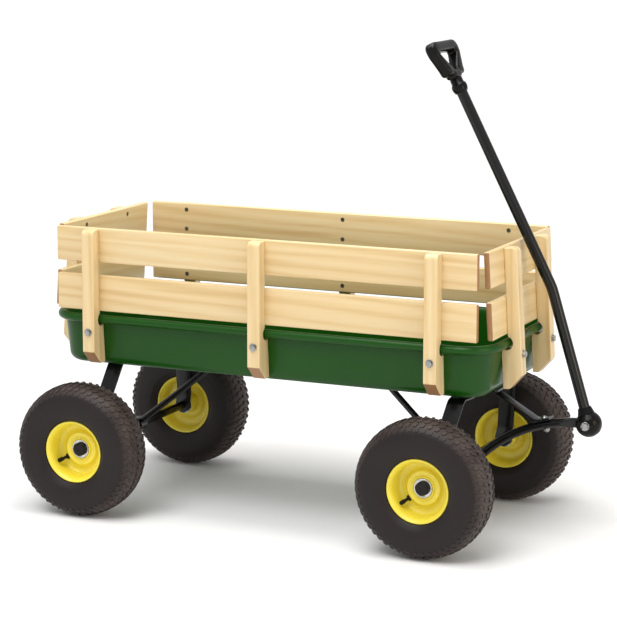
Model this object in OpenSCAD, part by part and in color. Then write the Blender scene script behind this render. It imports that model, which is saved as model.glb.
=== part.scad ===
// Pull wagon: a pressed steel tray with wooden stake sides on four
// pneumatic wheels, with a steered front axle and a folding pull handle.
// Millimetres. +X is the front, +Z is up, the floor is z = 0 and the
// origin is under the middle of the whole wagon.

/* [Tray] */
// Length inside the tray at its rim
tray_l = 864; // [760:1:1000]
// Width inside the tray at its rim
tray_w = 365; // [320:1:440]
// Height of the tray's underside above the floor
tray_z = 282; // [276:1:330]
// Height of the rim's centre above the tray's underside
tray_h = 90; // [75:1:130]
// Thickness of the sheet steel
sheet_t = 1.2; // [0.8:0.1:2.5]
// Plan radius of the tray's corners at the rim
corner_r = 52; // [40:1:90]
// Radius where the floor turns up into the walls
foot_r = 17; // [10:1:30]
// Outward slope of the walls, in degrees
wall_slope = 5; // [2:0.5:8]
// Outer radius of the rolled bead along the rim
bead_r = 8; // [5:0.5:10]

/* [Stake sides] */
// Width of a stake, along the side
stake_w = 25; // [20:1:32]
// Depth of a stake above the rim
stake_t = 24; // [18:1:30]
// How much deeper a stake is below the rim
stake_step = 13; // [9:1:20]
// Height of the stakes above the rim
stake_up = 171; // [120:1:260]
// How far the stakes hang below the rim
stake_down = 84; // [70:1:88]
// Size of the cut at a stake's foot
stake_cut = 25; // [10:1:30]
// Radius of the notch that clears the bead
notch_r = 12; // [10.5:0.5:14]
// Outer stakes of the long sides, in from the tray's ends
stake_in = 89; // [60:1:140]
// Half spacing of the two stakes on each end
end_stake_y = 81; // [60:1:110]
// Inward lean of the two end frames, in degrees
end_lean = 3.6; // [0:0.2:4]
// Thickness of the slats
slat_t = 11; // [8:0.5:16]
// Height of the lower slats
slat_low_h = 68; // [50:1:75]
// Height of the upper slats
slat_up_h = 65; // [50:1:75]
// Gap between the rim's centre and the lower slats
slat_rise = 16; // [13:1:20]
// Gap between the lower and the upper slats
slat_gap = 24; // [15:1:26]
// How far the long slats stop short of the rim at each end
slat_short = 10.5; // [8:0.5:25]
// How far the end slats stop short of the rim at each side
end_slat_short = 15.5; // [14:0.5:30]

/* [Wheels] */
// Outer radius of the tyres
tyre_r = 127; // [115:1:135]
// Width of the tyres
tyre_w = 87.5; // [70:0.5:95]
// Radius of the rim's lip
rim_r = 59; // [56:1:62]
// Half the track: middle of the wagon to the middle of a tyre
half_track = 223.5; // [218:0.5:260]
// Rear axle, ahead of the tray's rear end
rear_in = 74; // [62:1:112]
// Front axle, behind the tray's front end
front_in = 95; // [87:1:122]
// Radius of the axles
axle_r = 8; // [6:0.5:10]
// Outer radius of the wheel bearings
bearing_r = 17.5; // [16:0.5:19]
// How far the legs rake back from the tray down to the axle
rake = 27; // [0:1:32]

/* [Tongue and handle] */
// Handle pivot, ahead of the tray's front end
pivot_out = 135; // [120:1:190]
// Height of the handle pivot
pivot_z = 217.5; // [205:0.5:230]
// Radius of the ball shroud at the pivot
ball_r = 24; // [22:0.5:28]
// Radius of the tongue tube
tongue_r = 8; // [7:0.5:9]
// Radius of the handle tube
handle_r = 10; // [9:0.5:11]
// Handle length from the pivot to its bend
handle_low = 255; // [230:1:300]
// Handle length from its bend to the grip
handle_up = 478; // [400:1:560]
// Direction of the handle's lower part, in degrees from the front
handle_low_a = 107; // [102:0.5:112]
// Direction of the handle's upper part, in degrees from the front
handle_up_a = 117.2; // [113:0.1:118]
// Width of the grip over its bar
grip_w = 115; // [100:1:130]
// Thickness of the grip
grip_t = 22; // [20:1:28]

/* [Clearances] */
// Gap between flat pieces that are bolted together
seat = 0.1; // [0:0.05:0.3]
// Radial gap of a turning fit
run = 0.06; // [0.03:0.01:0.1]
// Gap beside a turning piece
side_gap = 0.4; // [0.3:0.1:1]

/* [Hidden] */
$fn = 48;

// Colours
wood_c = [0.90, 0.78, 0.58];
green_c = [0.10, 0.33, 0.12];
yellow_c = [0.90, 0.76, 0.12];
black_c = [0.06, 0.06, 0.06];
rubber_c = [0.14, 0.13, 0.13];
zinc_c = [0.72, 0.72, 0.70];

// Places along the wagon, from the middle of the tray
stake_pitch = tray_l / 2 - stake_in;
rear_x = tray_l / 2 - rear_in;
front_x = tray_l / 2 - front_in;
pivot_x = tray_l / 2 + pivot_out;

// The origin sits under the middle of the wagon's own length.
x_mid = (pivot_x + ball_r - rear_x - tyre_r) / 2;
module place() translate([-x_mid, 0, 0]) children();

// Heights
rim_z = tray_z + tray_h;
floor_z = tray_z + sheet_t;
low_slat_z = rim_z + slat_rise;
up_slat_z = low_slat_z + slat_low_h + slat_gap;
stake_top_z = rim_z + stake_up;
stake_foot_z = rim_z - stake_down;
bolt_drop = 21.5;
bolt_z = rim_z - bolt_drop;
axle_z = tyre_r;

// ---------------------------------------------------------------- tray

// Distance of the wall's inner face from a corner's centre at height z.
function wall_d(z) = corner_r - (rim_z - z) * tan(wall_slope);
// Outer face of the wall at height z, where the rim's inner face is at in_top.
function wall_out(in_top, z) =
    in_top - (rim_z - z) * tan(wall_slope) + sheet_t / cos(wall_slope);

// An arc from angle a to angle b round [cx, cy], in n steps.
function arc(cx, cy, r, a, b, n) =
    [for (i = [0:n]) [cx + r * cos(a + (b - a) * i / n), cy + r * sin(a + (b - a) * i / n)]];

// Section through a tray wall: the floor runs in to the corner's centre.
foot_z = floor_z + foot_r;
foot_d = wall_d(foot_z) - foot_r / cos(wall_slope);
module wall_section() {
    polygon(concat(
        [[0, floor_z]],
        arc(foot_d, foot_z, foot_r, -90, -wall_slope, 6),
        [[corner_r, rim_z], [corner_r + sheet_t / cos(wall_slope), rim_z]],
        arc(foot_d, foot_z, foot_r + sheet_t, -wall_slope, -90, 6),
        [[0, tray_z]]
    ));
    translate([corner_r + bead_r, rim_z]) difference() {
        circle(bead_r);
        circle(bead_r - sheet_t);
    }
}

// A straight wall of length len, facing +X, its corner line on x = 0.
module straight_wall(len) {
    translate([0, len / 2, 0]) rotate([90, 0, 0]) linear_extrude(len) wall_section();
}

// Half lengths of the flat between the corner centres
core_x = tray_l / 2 - corner_r;
core_y = tray_w / 2 - corner_r;

module tray_shell() {
    for (a = [0, 180]) rotate([0, 0, a]) {
        translate([core_x, 0, 0]) straight_wall(2 * core_y);
        translate([0, core_y, 0]) rotate([0, 0, 90]) straight_wall(2 * core_x);
        translate([core_x, core_y, 0]) rotate_extrude(angle = 90) wall_section();
        mirror([1, 0, 0]) translate([core_x, core_y, 0])
            rotate_extrude(angle = 90) wall_section();
    }
    translate([-core_x, -core_y, tray_z]) cube([2 * core_x, 2 * core_y, sheet_t]);
}

module tray() place() color(green_c) difference() {
    tray_shell();
    all_stake_places() stake_bolt_hole();
    for (p = frame_bolt_places) translate([p[0], p[1], tray_z - 1])
        cylinder(h = sheet_t + 2, r = stud_head_r + seat);
}

// --------------------------------------------------------- stake sides

// Outward distance of the wall's outer face at the bolts, sides and ends
side_wall = wall_out(tray_w / 2, bolt_z);
end_wall = wall_out(tray_l / 2, bolt_z);
// Stakes along a long side, from the rear to the front
stake_xs = [-stake_pitch, 0, stake_pitch];
// Rows of screws, as a height and the slat they hold
screw_edge = 13;
screw_zs = [
    low_slat_z + screw_edge, low_slat_z + slat_low_h - screw_edge,
    up_slat_z + screw_edge, up_slat_z + slat_up_h - screw_edge
];

// The frames are drawn facing +X, with their outward distance on X. A side
// frame faces the near or far side, an end frame the front or rear, leaning in.
module side_frame(dir) rotate([0, 0, dir * 90]) children();
module end_frame(dir) rotate([0, 0, dir > 0 ? 0 : 180])
    translate([end_wall, 0, bolt_z]) rotate([0, -end_lean, 0])
    translate([-end_wall, 0, -bolt_z]) children();

// Section of a stake, outward on X, with its low inner face against a wall
// at distance d. Above and below the bolt that face leans by up and down.
top_round = 10;
module stake_section(d, up, down) {
    low = d + seat;
    face = low + stake_step;
    out = face + stake_t;
    polygon(concat(
        [
            [face, stake_top_z], [face, rim_z],
            [low + (rim_z - bolt_z) * tan(up), rim_z], [low, bolt_z],
            [low - (bolt_z - stake_foot_z) * tan(down), stake_foot_z],
            [out - stake_cut, stake_foot_z], [out, stake_foot_z + stake_cut]
        ],
        arc(out - top_round, stake_top_z - top_round, top_round, 0, 90, 5)
    ));
}

// A bolt hole through a stake and the wall behind it.
stake_bolt_r = 3;
module stake_bolt_hole() translate([-20, 0, 0]) rotate([0, 90, 0])
    cylinder(h = 90, r = stake_bolt_r + 0.3);

// A bare stake at v along its frame, with its bolt and screw holes.
module bare_stake(d, up, down, v) {
    face = d + seat + stake_step;
    difference() {
        translate([0, v + stake_w / 2, 0]) rotate([90, 0, 0])
            linear_extrude(stake_w) stake_section(d, up, down);
        translate([d, v, bolt_z]) stake_bolt_hole();
        for (z = screw_zs) translate([face, v, z]) screw_hole();
    }
}

// The bead's notch, cut where the bead runs, at the rim's distance d.
module bead_notch(d) translate([d + bead_r, 0, rim_z]) rotate([90, 0, 0])
    cylinder(h = 3 * tray_l, r = notch_r, center = true);

module side_stake(dir, x) place() color(wood_c) side_frame(dir) difference() {
    bare_stake(side_wall, wall_slope, wall_slope, -dir * x);
    bead_notch(tray_w / 2);
}
module end_stake(dir, y) place() color(wood_c) difference() {
    end_frame(dir) bare_stake(end_wall, wall_slope + end_lean, 0, dir * y);
    rotate([0, 0, dir > 0 ? 0 : 180]) bead_notch(tray_l / 2);
}

// Countersunk screws go in from the slat's inner face at [0, 0, 0] + X.
screw_r = 2;
screw_head_r = 4;
screw_len = slat_t + stake_t * 0.7;
module screw_hole() translate([-slat_t - seat - 1, 0, 0]) rotate([0, 90, 0]) {
    cylinder(h = screw_len + 2, r = screw_r + 0.05);
    cylinder(h = 3.4, r1 = screw_head_r + 0.75, r2 = screw_r);
}
module screw() translate([-slat_t - seat, 0, 0]) rotate([0, 90, 0]) {
    cylinder(h = 2.2, r1 = screw_head_r - 0.4, r2 = screw_r);
    cylinder(h = screw_len, r = screw_r);
}

// A slat against the stakes' faces, with eased edges and holes at the stakes vs.
slat_round = 3;
module slat_section(h) polygon(concat(
    arc(slat_t - slat_round, h - slat_round, slat_round, 0, 90, 4),
    arc(slat_round, h - slat_round, slat_round, 90, 180, 4),
    arc(slat_round, slat_round, slat_round, 180, 270, 4),
    arc(slat_t - slat_round, slat_round, slat_round, 270, 360, 4)
));
module slat(d, half_len, z, h, vs) {
    face = d + seat + stake_step;
    difference() {
        translate([face - seat - slat_t, half_len, z]) rotate([90, 0, 0])
            linear_extrude(2 * half_len) slat_section(h);
        for (v = vs, s = [screw_edge, h - screw_edge])
            translate([face, v, z + s]) screw_hole();
    }
}
module side_slat(dir, z, h) place() color(wood_c) side_frame(dir)
    slat(side_wall, tray_l / 2 - slat_short, z, h, stake_xs);
module end_slat(dir, z, h) place() color(wood_c) end_frame(dir)
    slat(end_wall, tray_w / 2 - end_slat_short, z, h, [-end_stake_y, end_stake_y]);

// Children drawn at each stake's bolt, outward on X, from the wall's face.
module all_stake_places() {
    for (dir = [-1, 1], x = stake_xs) side_frame(dir)
        translate([side_wall, x, bolt_z]) children();
    for (dir = [-1, 1], y = [-end_stake_y, end_stake_y]) end_frame(dir)
        translate([end_wall, y, bolt_z]) children();
}

module slat_screws() place() color(zinc_c) {
    for (dir = [-1, 1], x = stake_xs, z = screw_zs) side_frame(dir)
        translate([side_wall + seat + stake_step, x, z]) screw();
    for (dir = [-1, 1], y = [-end_stake_y, end_stake_y], z = screw_zs) end_frame(dir)
        translate([end_wall + seat + stake_step, y, z]) screw();
}

// A stake's bolt: washer and hexagon head outside, thread through the wall.
head_h = 4;
head_r = 5.8;
washer_r = 6.5;
washer_t = 1.2;
stake_depth = seat + stake_step + stake_t;
wall_tilt = washer_r * tan(wall_slope + end_lean) + sheet_t / cos(wall_slope + end_lean);
module stake_bolts() place() color(zinc_c) all_stake_places() rotate([0, 90, 0]) {
    translate([0, 0, -wall_tilt - 8]) cylinder(h = wall_tilt + 8 + stake_depth, r = stake_bolt_r);
    translate([0, 0, stake_depth + seat]) cylinder(h = washer_t, r = washer_r);
    translate([0, 0, stake_depth + seat]) cylinder(h = washer_t + head_h, r = head_r, $fn = 6);
    translate([0, 0, stake_depth - 1]) cylinder(h = 2, r = stake_bolt_r);
}
module stake_nuts() place() color(zinc_c) all_stake_places()
    translate([-wall_tilt - 6, 0, 0]) rotate([0, 90, 0]) difference() {
        union() {
            cylinder(h = 4.8, r = head_r, $fn = 6);
            translate([0, 0, 4.8]) cylinder(h = washer_t, r = washer_r);
        }
        translate([0, 0, -1]) cylinder(h = 8, r = stake_bolt_r + 0.05);
    }

// ------------------------------------------------------- undercarriage

plate_t = 4;
leg_t = 4;
leg_w = 32;
// The legs stand beside the hubs and lean in towards the tray.
hub_in = 31;
hub_out = 6;
collar_t = 2;
lug_y = half_track - hub_in - side_gap - collar_t - leg_t / 2;
lug_top = axle_z + 23;
leg_in = 56;
leg_lean = atan(leg_in / (tray_z - lug_top));
// Outward distance of a leg's middle at height z
function leg_y(z) = lug_y - (z - lug_top) * tan(leg_lean);
frame_bolt_r = 4;
// Flush heads of the studs pressed into the tray's floor
stud_head_r = 6.5;
// Cross plate half sizes
plate_y = lug_y - leg_in;
rear_plate_x = rake - rear_x;
front_plate_x = rake + front_x;
// Braces run from pads under the floor to the axles.
brace_r = 6;
rear_pad_x = -rear_x + 200;
front_pad_x = front_x - 197;
king_r = 8;
spacer_t = 6;
steer_plate_z = tray_z - plate_t - spacer_t - plate_t;
// Bolts through the tray's floor
plate_bolt_x = 13;
plate_bolt_y = 95;
bolster_x = 30;
bolster_y = 60;
frame_bolt_places = concat(
    [for (sx = [-1, 1], sy = [-1, 1]) [rear_plate_x + sx * plate_bolt_x, sy * plate_bolt_y]],
    [for (sx = [-1, 1], sy = [-1, 1]) [front_x + sx * bolster_x, sy * bolster_y]],
    [[rear_pad_x, 0], [front_pad_x, 0]]
);

// A leg with its lug, on the +Y side, up to a plate whose top is at top_z.
module leg(top_z) {
    top = top_z - plate_t / 2;
    rise = (top - lug_top) / cos(leg_lean);
    x_low = rake * (lug_top - axle_z) / (tray_z - axle_z);
    difference() {
        union() {
            translate([0, lug_y + leg_t / 2, axle_z]) rotate([90, 0, 0]) linear_extrude(leg_t) {
                circle(leg_w / 2);
                polygon([
                    [-leg_w / 2, 0], [leg_w / 2, 0],
                    [x_low + leg_w / 2, lug_top - axle_z + 1],
                    [x_low - leg_w / 2, lug_top - axle_z + 1]
                ]);
            }
            translate([0, lug_y, lug_top]) rotate([leg_lean, 0, 0])
                translate([0, leg_t / 2, 0]) rotate([90, 0, 0]) linear_extrude(leg_t)
                polygon([
                    [x_low - leg_w / 2, -1], [x_low + leg_w / 2, -1],
                    [rake + leg_w / 2, rise], [rake - leg_w / 2, rise]
                ]);
        }
        translate([0, lug_y, axle_z]) rotate([90, 0, 0])
            cylinder(h = 4 * leg_t, r = axle_r + seat, center = true);
    }
}

module rear_bracket() place() color(black_c) translate([-rear_x, 0, 0]) {
    leg(tray_z);
    mirror([0, 1, 0]) leg(tray_z);
    difference() {
        translate([rake - 22, -plate_y, tray_z - plate_t]) cube([44, 2 * plate_y, plate_t - seat]);
        for (sx = [-1, 1], sy = [-1, 1])
            translate([rake + sx * plate_bolt_x, sy * plate_bolt_y, tray_z - plate_t - 1])
            cylinder(h = plate_t + 2, r = frame_bolt_r + 0.2);
    }
}

// An axle with its collars beside the lugs.
axle_end = half_track + hub_out + 4;
module axle() rotate([90, 0, 0]) {
    cylinder(h = 2 * axle_end, r = axle_r, center = true);
    for (s = [-1, 1]) translate([0, 0, s * (lug_y + leg_t / 2 + collar_t / 2 + seat)])
        cylinder(h = collar_t, r = axle_r + 4, center = true);
}
module rear_axle() place() color(zinc_c) translate([-rear_x, 0, axle_z]) axle();

// Push-on caps that hold the wheels on the axle's ends.
cap_r = 13;
cap_h = 6.8;
module axle_caps() for (s = [-1, 1]) translate([0, s * (half_track + hub_out + side_gap), 0])
    rotate([-s * 90, 0, 0]) difference() {
        rotate_extrude() polygon([
            [0, 0], [cap_r, 0], [cap_r, cap_h - 2.5], [cap_r - 1, cap_h - 0.8],
            [cap_r - 3, cap_h], [2, cap_h], [1.5, cap_h - 0.6], [0, cap_h - 0.6]
        ]);
        translate([0, 0, -1]) cylinder(h = 5, r = axle_r + seat / 2);
    }
module rear_axle_caps() place() color(black_c) translate([-rear_x, 0, axle_z]) axle_caps();
module front_axle_caps() place() color(black_c) translate([front_x, 0, axle_z]) axle_caps();

// A rod from point a to point b in the middle plane, given as [x, z].
module rod(a, b, r) {
    dx = b[0] - a[0];
    dz = b[1] - a[1];
    translate([a[0], 0, a[1]]) rotate([0, atan2(dx, dz), 0])
        cylinder(h = sqrt(dx * dx + dz * dz), r = r);
}

// The pad at a brace's upper end, bolted under the floor.
pad_r = 16;
module pad(x) translate([x, 0, tray_z - plate_t]) difference() {
    cylinder(h = plate_t - seat, r = pad_r);
    translate([0, 0, -1]) cylinder(h = plate_t + 2, r = frame_bolt_r + 0.2);
}
eye_r = 14;
module rear_brace() place() color(black_c) {
    pad(rear_pad_x);
    difference() {
        union() {
            rod([rear_pad_x - pad_r + 4, tray_z - plate_t + 1 - brace_r / 2],
                [-rear_x + 8, axle_z + 8], brace_r);
            translate([-rear_x, 0, axle_z]) rotate([90, 0, 0])
                cylinder(h = 24, r = eye_r, center = true);
        }
        translate([-rear_x, 0, axle_z]) rotate([90, 0, 0])
            cylinder(h = 30, r = axle_r + seat, center = true);
        translate([rear_pad_x - 60, -20, tray_z - seat]) cube([100, 40, 20]);
        translate([rear_pad_x, 0, tray_z - 30]) cylinder(h = 26, r = 9);
    }
}

// Lower pivot: a boss on the front axle turns on a bolt through the brace.
pivot_r = 5;
boss_r = 13;
boss_h = 30;
eye_t = 6;
eye_z = axle_z - boss_h / 2 - collar_t - eye_t;
module front_brace() place() color(black_c) {
    pad(front_pad_x);
    difference() {
        union() {
            rod([front_pad_x + pad_r - 4, tray_z - plate_t + 1 - brace_r / 2],
                [front_x - 12, eye_z + eye_t / 2], brace_r);
            translate([front_x, 0, eye_z]) cylinder(h = eye_t, r = eye_r);
        }
        translate([front_x, 0, eye_z - 20]) cylinder(h = 60, r = pivot_r + 0.1);
        translate([front_x, 0, eye_z + eye_t]) cylinder(h = 30, r = eye_r + 3);
        translate([front_x, 0, eye_z - 20]) cylinder(h = 20, r = eye_r + 3);
        translate([front_pad_x - 30, -20, tray_z - seat]) cube([100, 40, 20]);
        translate([front_pad_x, 0, tray_z - 30]) cylinder(h = 26, r = 9);
    }
}

// The fixed plate of the turntable, bolted under the tray.
module bolster_plate() place() color(black_c) difference() {
    translate([front_x - bolster_x - 15, -bolster_y - 15, tray_z - plate_t])
        cube([2 * bolster_x + 30, 2 * bolster_y + 30, plate_t - seat]);
    for (sx = [-1, 1], sy = [-1, 1])
        translate([front_x + sx * bolster_x, sy * bolster_y, tray_z - plate_t - 1])
        cylinder(h = plate_t + 2, r = frame_bolt_r + 0.2);
    translate([front_x, 0, tray_z - plate_t - 1]) cylinder(h = plate_t + 2, r = king_r + 0.1);
    translate([front_x, 0, tray_z - king_head_t - 0.2]) cylinder(h = 10, r = king_head_r + seat);
}

// Studs pressed flush into the tray's floor, with low flange nuts under the
// plates, so that the floor is flat and the turntable's gap stays open.
module frame_bolts() place() color(zinc_c) for (p = frame_bolt_places) translate([p[0], p[1], 0]) {
    translate([0, 0, tray_z]) cylinder(h = sheet_t - 0.02, r = stud_head_r);
    translate([0, 0, tray_z - plate_t - seat - 4.4]) cylinder(h = plate_t + seat + 4.9, r = frame_bolt_r);
    translate([0, 0, tray_z - plate_t - seat - 1]) cylinder(h = 1, r = 8);
    translate([0, 0, tray_z - plate_t - seat - 3.8]) cylinder(h = 3.8, r = 7, $fn = 6);
}

// The king pin's head sits flush in the fixed plate.
king_head_r = 13;
king_head_t = 1.8;
module king_pin_bolts() place() color(zinc_c) translate([front_x, 0, 0]) {
    // Upper king pin, from the fixed plate down through the steered one
    translate([0, 0, steer_plate_z - 12]) cylinder(h = tray_z - steer_plate_z + 11, r = king_r);
    translate([0, 0, tray_z - 0.1 - king_head_t]) cylinder(h = king_head_t - seat, r = king_head_r);
    translate([0, 0, steer_plate_z - side_gap - 8]) cylinder(h = 8, r = 13, $fn = 6);
    // Lower pivot bolt, through the axle's boss and the brace's eye
    translate([0, 0, eye_z - 10]) cylinder(h = boss_h + eye_t + collar_t + 12, r = pivot_r);
    translate([0, 0, axle_z + boss_h / 2 + side_gap]) cylinder(h = 5, r = 8.5, $fn = 6);
    translate([0, 0, eye_z - seat - 6]) cylinder(h = 6, r = 8.5, $fn = 6);
}

module ring(h, r_out, r_in) difference() {
    cylinder(h = h, r = r_out);
    translate([0, 0, -1]) cylinder(h = h + 2, r = r_in);
}
module pivot_washers() place() color(black_c) translate([front_x, 0, 0]) {
    translate([0, 0, tray_z - plate_t - spacer_t + side_gap])
        ring(spacer_t - side_gap - seat, 25, king_r + 0.1);
    translate([0, 0, eye_z + eye_t + seat]) ring(collar_t - seat - side_gap, 12, pivot_r + 0.1);
}

// ---------------------------------------------------- steered front end

steer_plate_w = 34;
module front_bracket() place() color(black_c) translate([front_x, 0, 0]) {
    leg(steer_plate_z + plate_t);
    mirror([0, 1, 0]) leg(steer_plate_z + plate_t);
    difference() {
        union() {
            translate([rake - 20, -leg_y(steer_plate_z + plate_t), steer_plate_z])
                cube([40, 2 * leg_y(steer_plate_z + plate_t), plate_t]);
            translate([-24, -38, steer_plate_z]) cube([rake + 40, 76, plate_t]);
        }
        translate([0, 0, steer_plate_z - 1]) cylinder(h = plate_t + 2, r = king_r + run);
        translate([strap_x0 - front_x, 0, steer_plate_z - 1]) cylinder(h = plate_t + 2, r = 3.2);
    }
}

module front_axle() place() color(black_c) translate([front_x, 0, axle_z]) difference() {
    union() {
        axle();
        translate([0, 0, -boss_h / 2]) cylinder(h = boss_h, r = boss_r);
    }
    cylinder(h = 2 * boss_h, r = pivot_r + run, center = true);
}

// The tongue is an arc that starts level at the pivot and drops to the axle.
tongue_bend = 270;
tongue_end_x = pivot_x - ball_r - 5;
tongue_top_x = pivot_x - 14;
tongue_drop_a = asin((tongue_top_x - front_x - boss_r + 1) / tongue_bend);
tongue_slack_a = asin((tongue_top_x - tongue_end_x) / tongue_bend);
yoke_t = 8;
yoke_h = 18;
bolt_r = 4;
strap_w = 26;
strap_t = 4;
module tongue_tube() place() color(black_c) difference() {
    union() {
        translate([tongue_top_x, 0, pivot_z - tongue_bend]) rotate([90, 0, 0])
            rotate([0, 0, 90 + tongue_slack_a])
            rotate_extrude(angle = tongue_drop_a - tongue_slack_a)
            translate([tongue_bend, 0]) circle(tongue_r);
        translate([tongue_end_x - 14, -yoke_t / 2, pivot_z - yoke_h / 2])
            cube([pivot_x - tongue_end_x + 14, yoke_t, yoke_h]);
        translate([pivot_x, 0, pivot_z]) rotate([90, 0, 0])
            cylinder(h = yoke_t, r = 11, center = true);
    }
    translate([pivot_x, 0, pivot_z]) rotate([90, 0, 0])
        cylinder(h = 2 * yoke_t, r = bolt_r + run, center = true);
    on_strap_end() translate([0, 0, -20]) cylinder(h = 40, r = 3.2);
    translate([front_x, 0, axle_z]) cylinder(h = boss_h, r = boss_r + seat, center = true);
    translate([front_x, 0, axle_z]) rotate([90, 0, 0])
        cylinder(h = 60, r = axle_r + seat, center = true);
}
// Height of the tongue's middle line at x
function tongue_z(x) =
    pivot_z - tongue_bend + sqrt(tongue_bend * tongue_bend - (tongue_top_x - x) * (tongue_top_x - x));

// The strap runs from under the steering plate down on to the tongue, where
// its end lies along the tube.
strap_x0 = front_plate_x + 6;
strap_x1 = pivot_x - 82;
strap_top = steer_plate_z - seat;
strap_a = asin((tongue_top_x - strap_x1) / tongue_bend);
strap_seat = tongue_r + seat;
// A point of the strap's end, from lengths along and off the tube's middle
function strap_point(along, off) = [
    strap_x1 + along * cos(strap_a) - off * sin(strap_a),
    tongue_z(strap_x1) + along * sin(strap_a) + off * cos(strap_a)
];
module on_strap_end() translate([strap_x1, 0, tongue_z(strap_x1)]) rotate([0, -strap_a, 0]) children();
module tongue_strap() place() color(black_c) difference() {
    translate([0, strap_w / 2, 0]) rotate([90, 0, 0]) linear_extrude(strap_w) polygon([
        [strap_x0 - 14, strap_top], [strap_x0 + 14, strap_top],
        strap_point(-12, strap_seat + strap_t), strap_point(14, strap_seat + strap_t),
        strap_point(14, strap_seat), strap_point(-13, strap_seat),
        [strap_x0 + 12, strap_top - strap_t], [strap_x0 - 14, strap_top - strap_t]
    ]);
    translate([strap_x0, 0, strap_top - 10]) cylinder(h = 20, r = 3.2);
    on_strap_end() cylinder(h = 20, r = 3.2);
}
// Round-headed bolts at the strap's two ends
module tongue_bolt() place() color(zinc_c) {
    on_strap_end() {
        translate([0, 0, strap_seat + strap_t + seat]) round_head();
        translate([0, 0, -tongue_r - 7]) cylinder(h = tongue_r + strap_seat + strap_t + 8, r = 3);
        translate([0, 0, -tongue_r - seat - 4.5]) cylinder(h = 4.5, r = 5.6, $fn = 6);
    }
    translate([strap_x0, 0, strap_top - strap_t - seat]) mirror([0, 0, 1]) round_head();
    translate([strap_x0, 0, strap_top - strap_t - 1]) cylinder(h = strap_t + plate_t + 2, r = 3);
}
module round_head() rotate_extrude() polygon(concat(
    [[0, 0]], arc(0, -2, 6.4, 18.2, 90, 5)
));

// ---------------------------------------------------------------- handle

// Direction of the lower and the upper part, as [x, z]
low_dir = [cos(handle_low_a), sin(handle_low_a)];
up_dir = [cos(handle_up_a), sin(handle_up_a)];
handle_bend = 120;
bend_len = handle_bend * tan((handle_up_a - handle_low_a) / 2);
bend_x = pivot_x + handle_low * low_dir[0];
bend_z = pivot_z + handle_low * low_dir[1];
// Places along the upper part, counted down from the grip's bar
collar_s = -79;
grip_foot = -56;
// The grip's socket stops short of its window; the tube seats in it.
socket_s = -47;
tube_end_s = socket_s - 1;
tube_t = 2;

// Children turned so that their Z runs along the handle's upper part, with
// the origin in the middle of the grip's bar.
module on_grip() translate([bend_x + handle_up * up_dir[0], 0, bend_z + handle_up * up_dir[1]])
    rotate([0, 90 - handle_up_a, 0]) children();
// Children turned so that their Z runs along the lower part from the pivot.
module on_pivot() translate([pivot_x, 0, pivot_z]) rotate([0, 90 - handle_low_a, 0]) children();

// A bar along the handle. Its bend is a hair thicker than its straights,
// which run into it.
module bent_bar(r, start, stop) {
    on_pivot() translate([0, 0, start]) cylinder(h = handle_low - bend_len - start + 1, r = r);
    on_pivot() translate([0, 0, handle_low - bend_len]) translate([-handle_bend, 0, 0])
        rotate([90, 0, 0]) rotate_extrude(angle = handle_up_a - handle_low_a)
        translate([handle_bend, 0]) circle(r + 0.1);
    on_grip() translate([0, 0, bend_len - handle_up - 1])
        cylinder(h = handle_up - bend_len + stop + 1, r = r);
}

slot_half = yoke_t / 2 + side_gap;
module handle_tube() place() color(black_c) difference() {
    bent_bar(handle_r, -10, tube_end_s);
    bent_bar(handle_r - tube_t, -11, tube_end_s + 1);
    on_pivot() translate([-20, -slot_half, -20]) cube([40, 2 * slot_half, 37]);
    on_pivot() rotate([90, 0, 0]) cylinder(h = 40, r = bolt_r + 0.05, center = true);
}

// The collar reaches up to the grip's neck.
collar_top = grip_foot - 6 - seat - collar_s;
module handle_collar() place() color(black_c) on_grip() translate([0, 0, collar_s])
    rotate_extrude() polygon([
        [handle_r + seat, -10], [handle_r + 1.2, -10], [handle_r + 4, -4], [handle_r + 4.5, 0],
        [handle_r + 4, 4], [handle_r + 1.5, 7], [handle_r + 1.2, collar_top], [handle_r + seat, collar_top]
    ]);

// Outline of the grip: half width a at height s above the bar's middle.
function ring_corner(p, r, a, b) = arc(p[0], p[1], r, a, b, 5);
grip_top = 11;
grip_foot_w = 36;
module grip_outline() polygon(concat(
    ring_corner([grip_w / 2 - 14, grip_top - 14], 14, 0, 90),
    ring_corner([14 - grip_w / 2, grip_top - 14], 14, 90, 180),
    ring_corner([4 - grip_foot_w, grip_foot + 4], 4, 180, 270),
    [[-handle_r - 4, grip_foot], [-handle_r - 4, grip_foot - 6]],
    [[handle_r + 4, grip_foot - 6], [handle_r + 4, grip_foot]],
    ring_corner([grip_foot_w - 4, grip_foot + 4], 4, -90, 0)
));
module grip_window() polygon(concat(
    ring_corner([grip_w / 2 - 25, grip_top - 26], 6, 0, 90),
    ring_corner([25 - grip_w / 2, grip_top - 26], 6, 90, 180),
    ring_corner([-8, -40], 5, 180, 270),
    ring_corner([8, -40], 5, -90, 0)
));
module handle_grip() place() color(black_c) difference() {
    on_grip() translate([0, grip_t / 2, 0]) rotate([90, 0, 0]) rotate([0, 90, 0])
        translate([0, 0, -grip_t / 2]) grip_slab();
    on_grip() translate([0, 0, grip_foot - 10]) cylinder(h = 10 + socket_s - grip_foot, r = handle_r + seat);
}
// The grip drawn with its outline in the handle's cross plane.
module grip_slab() linear_extrude(grip_t) difference() {
    grip_outline();
    grip_window();
}

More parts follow.
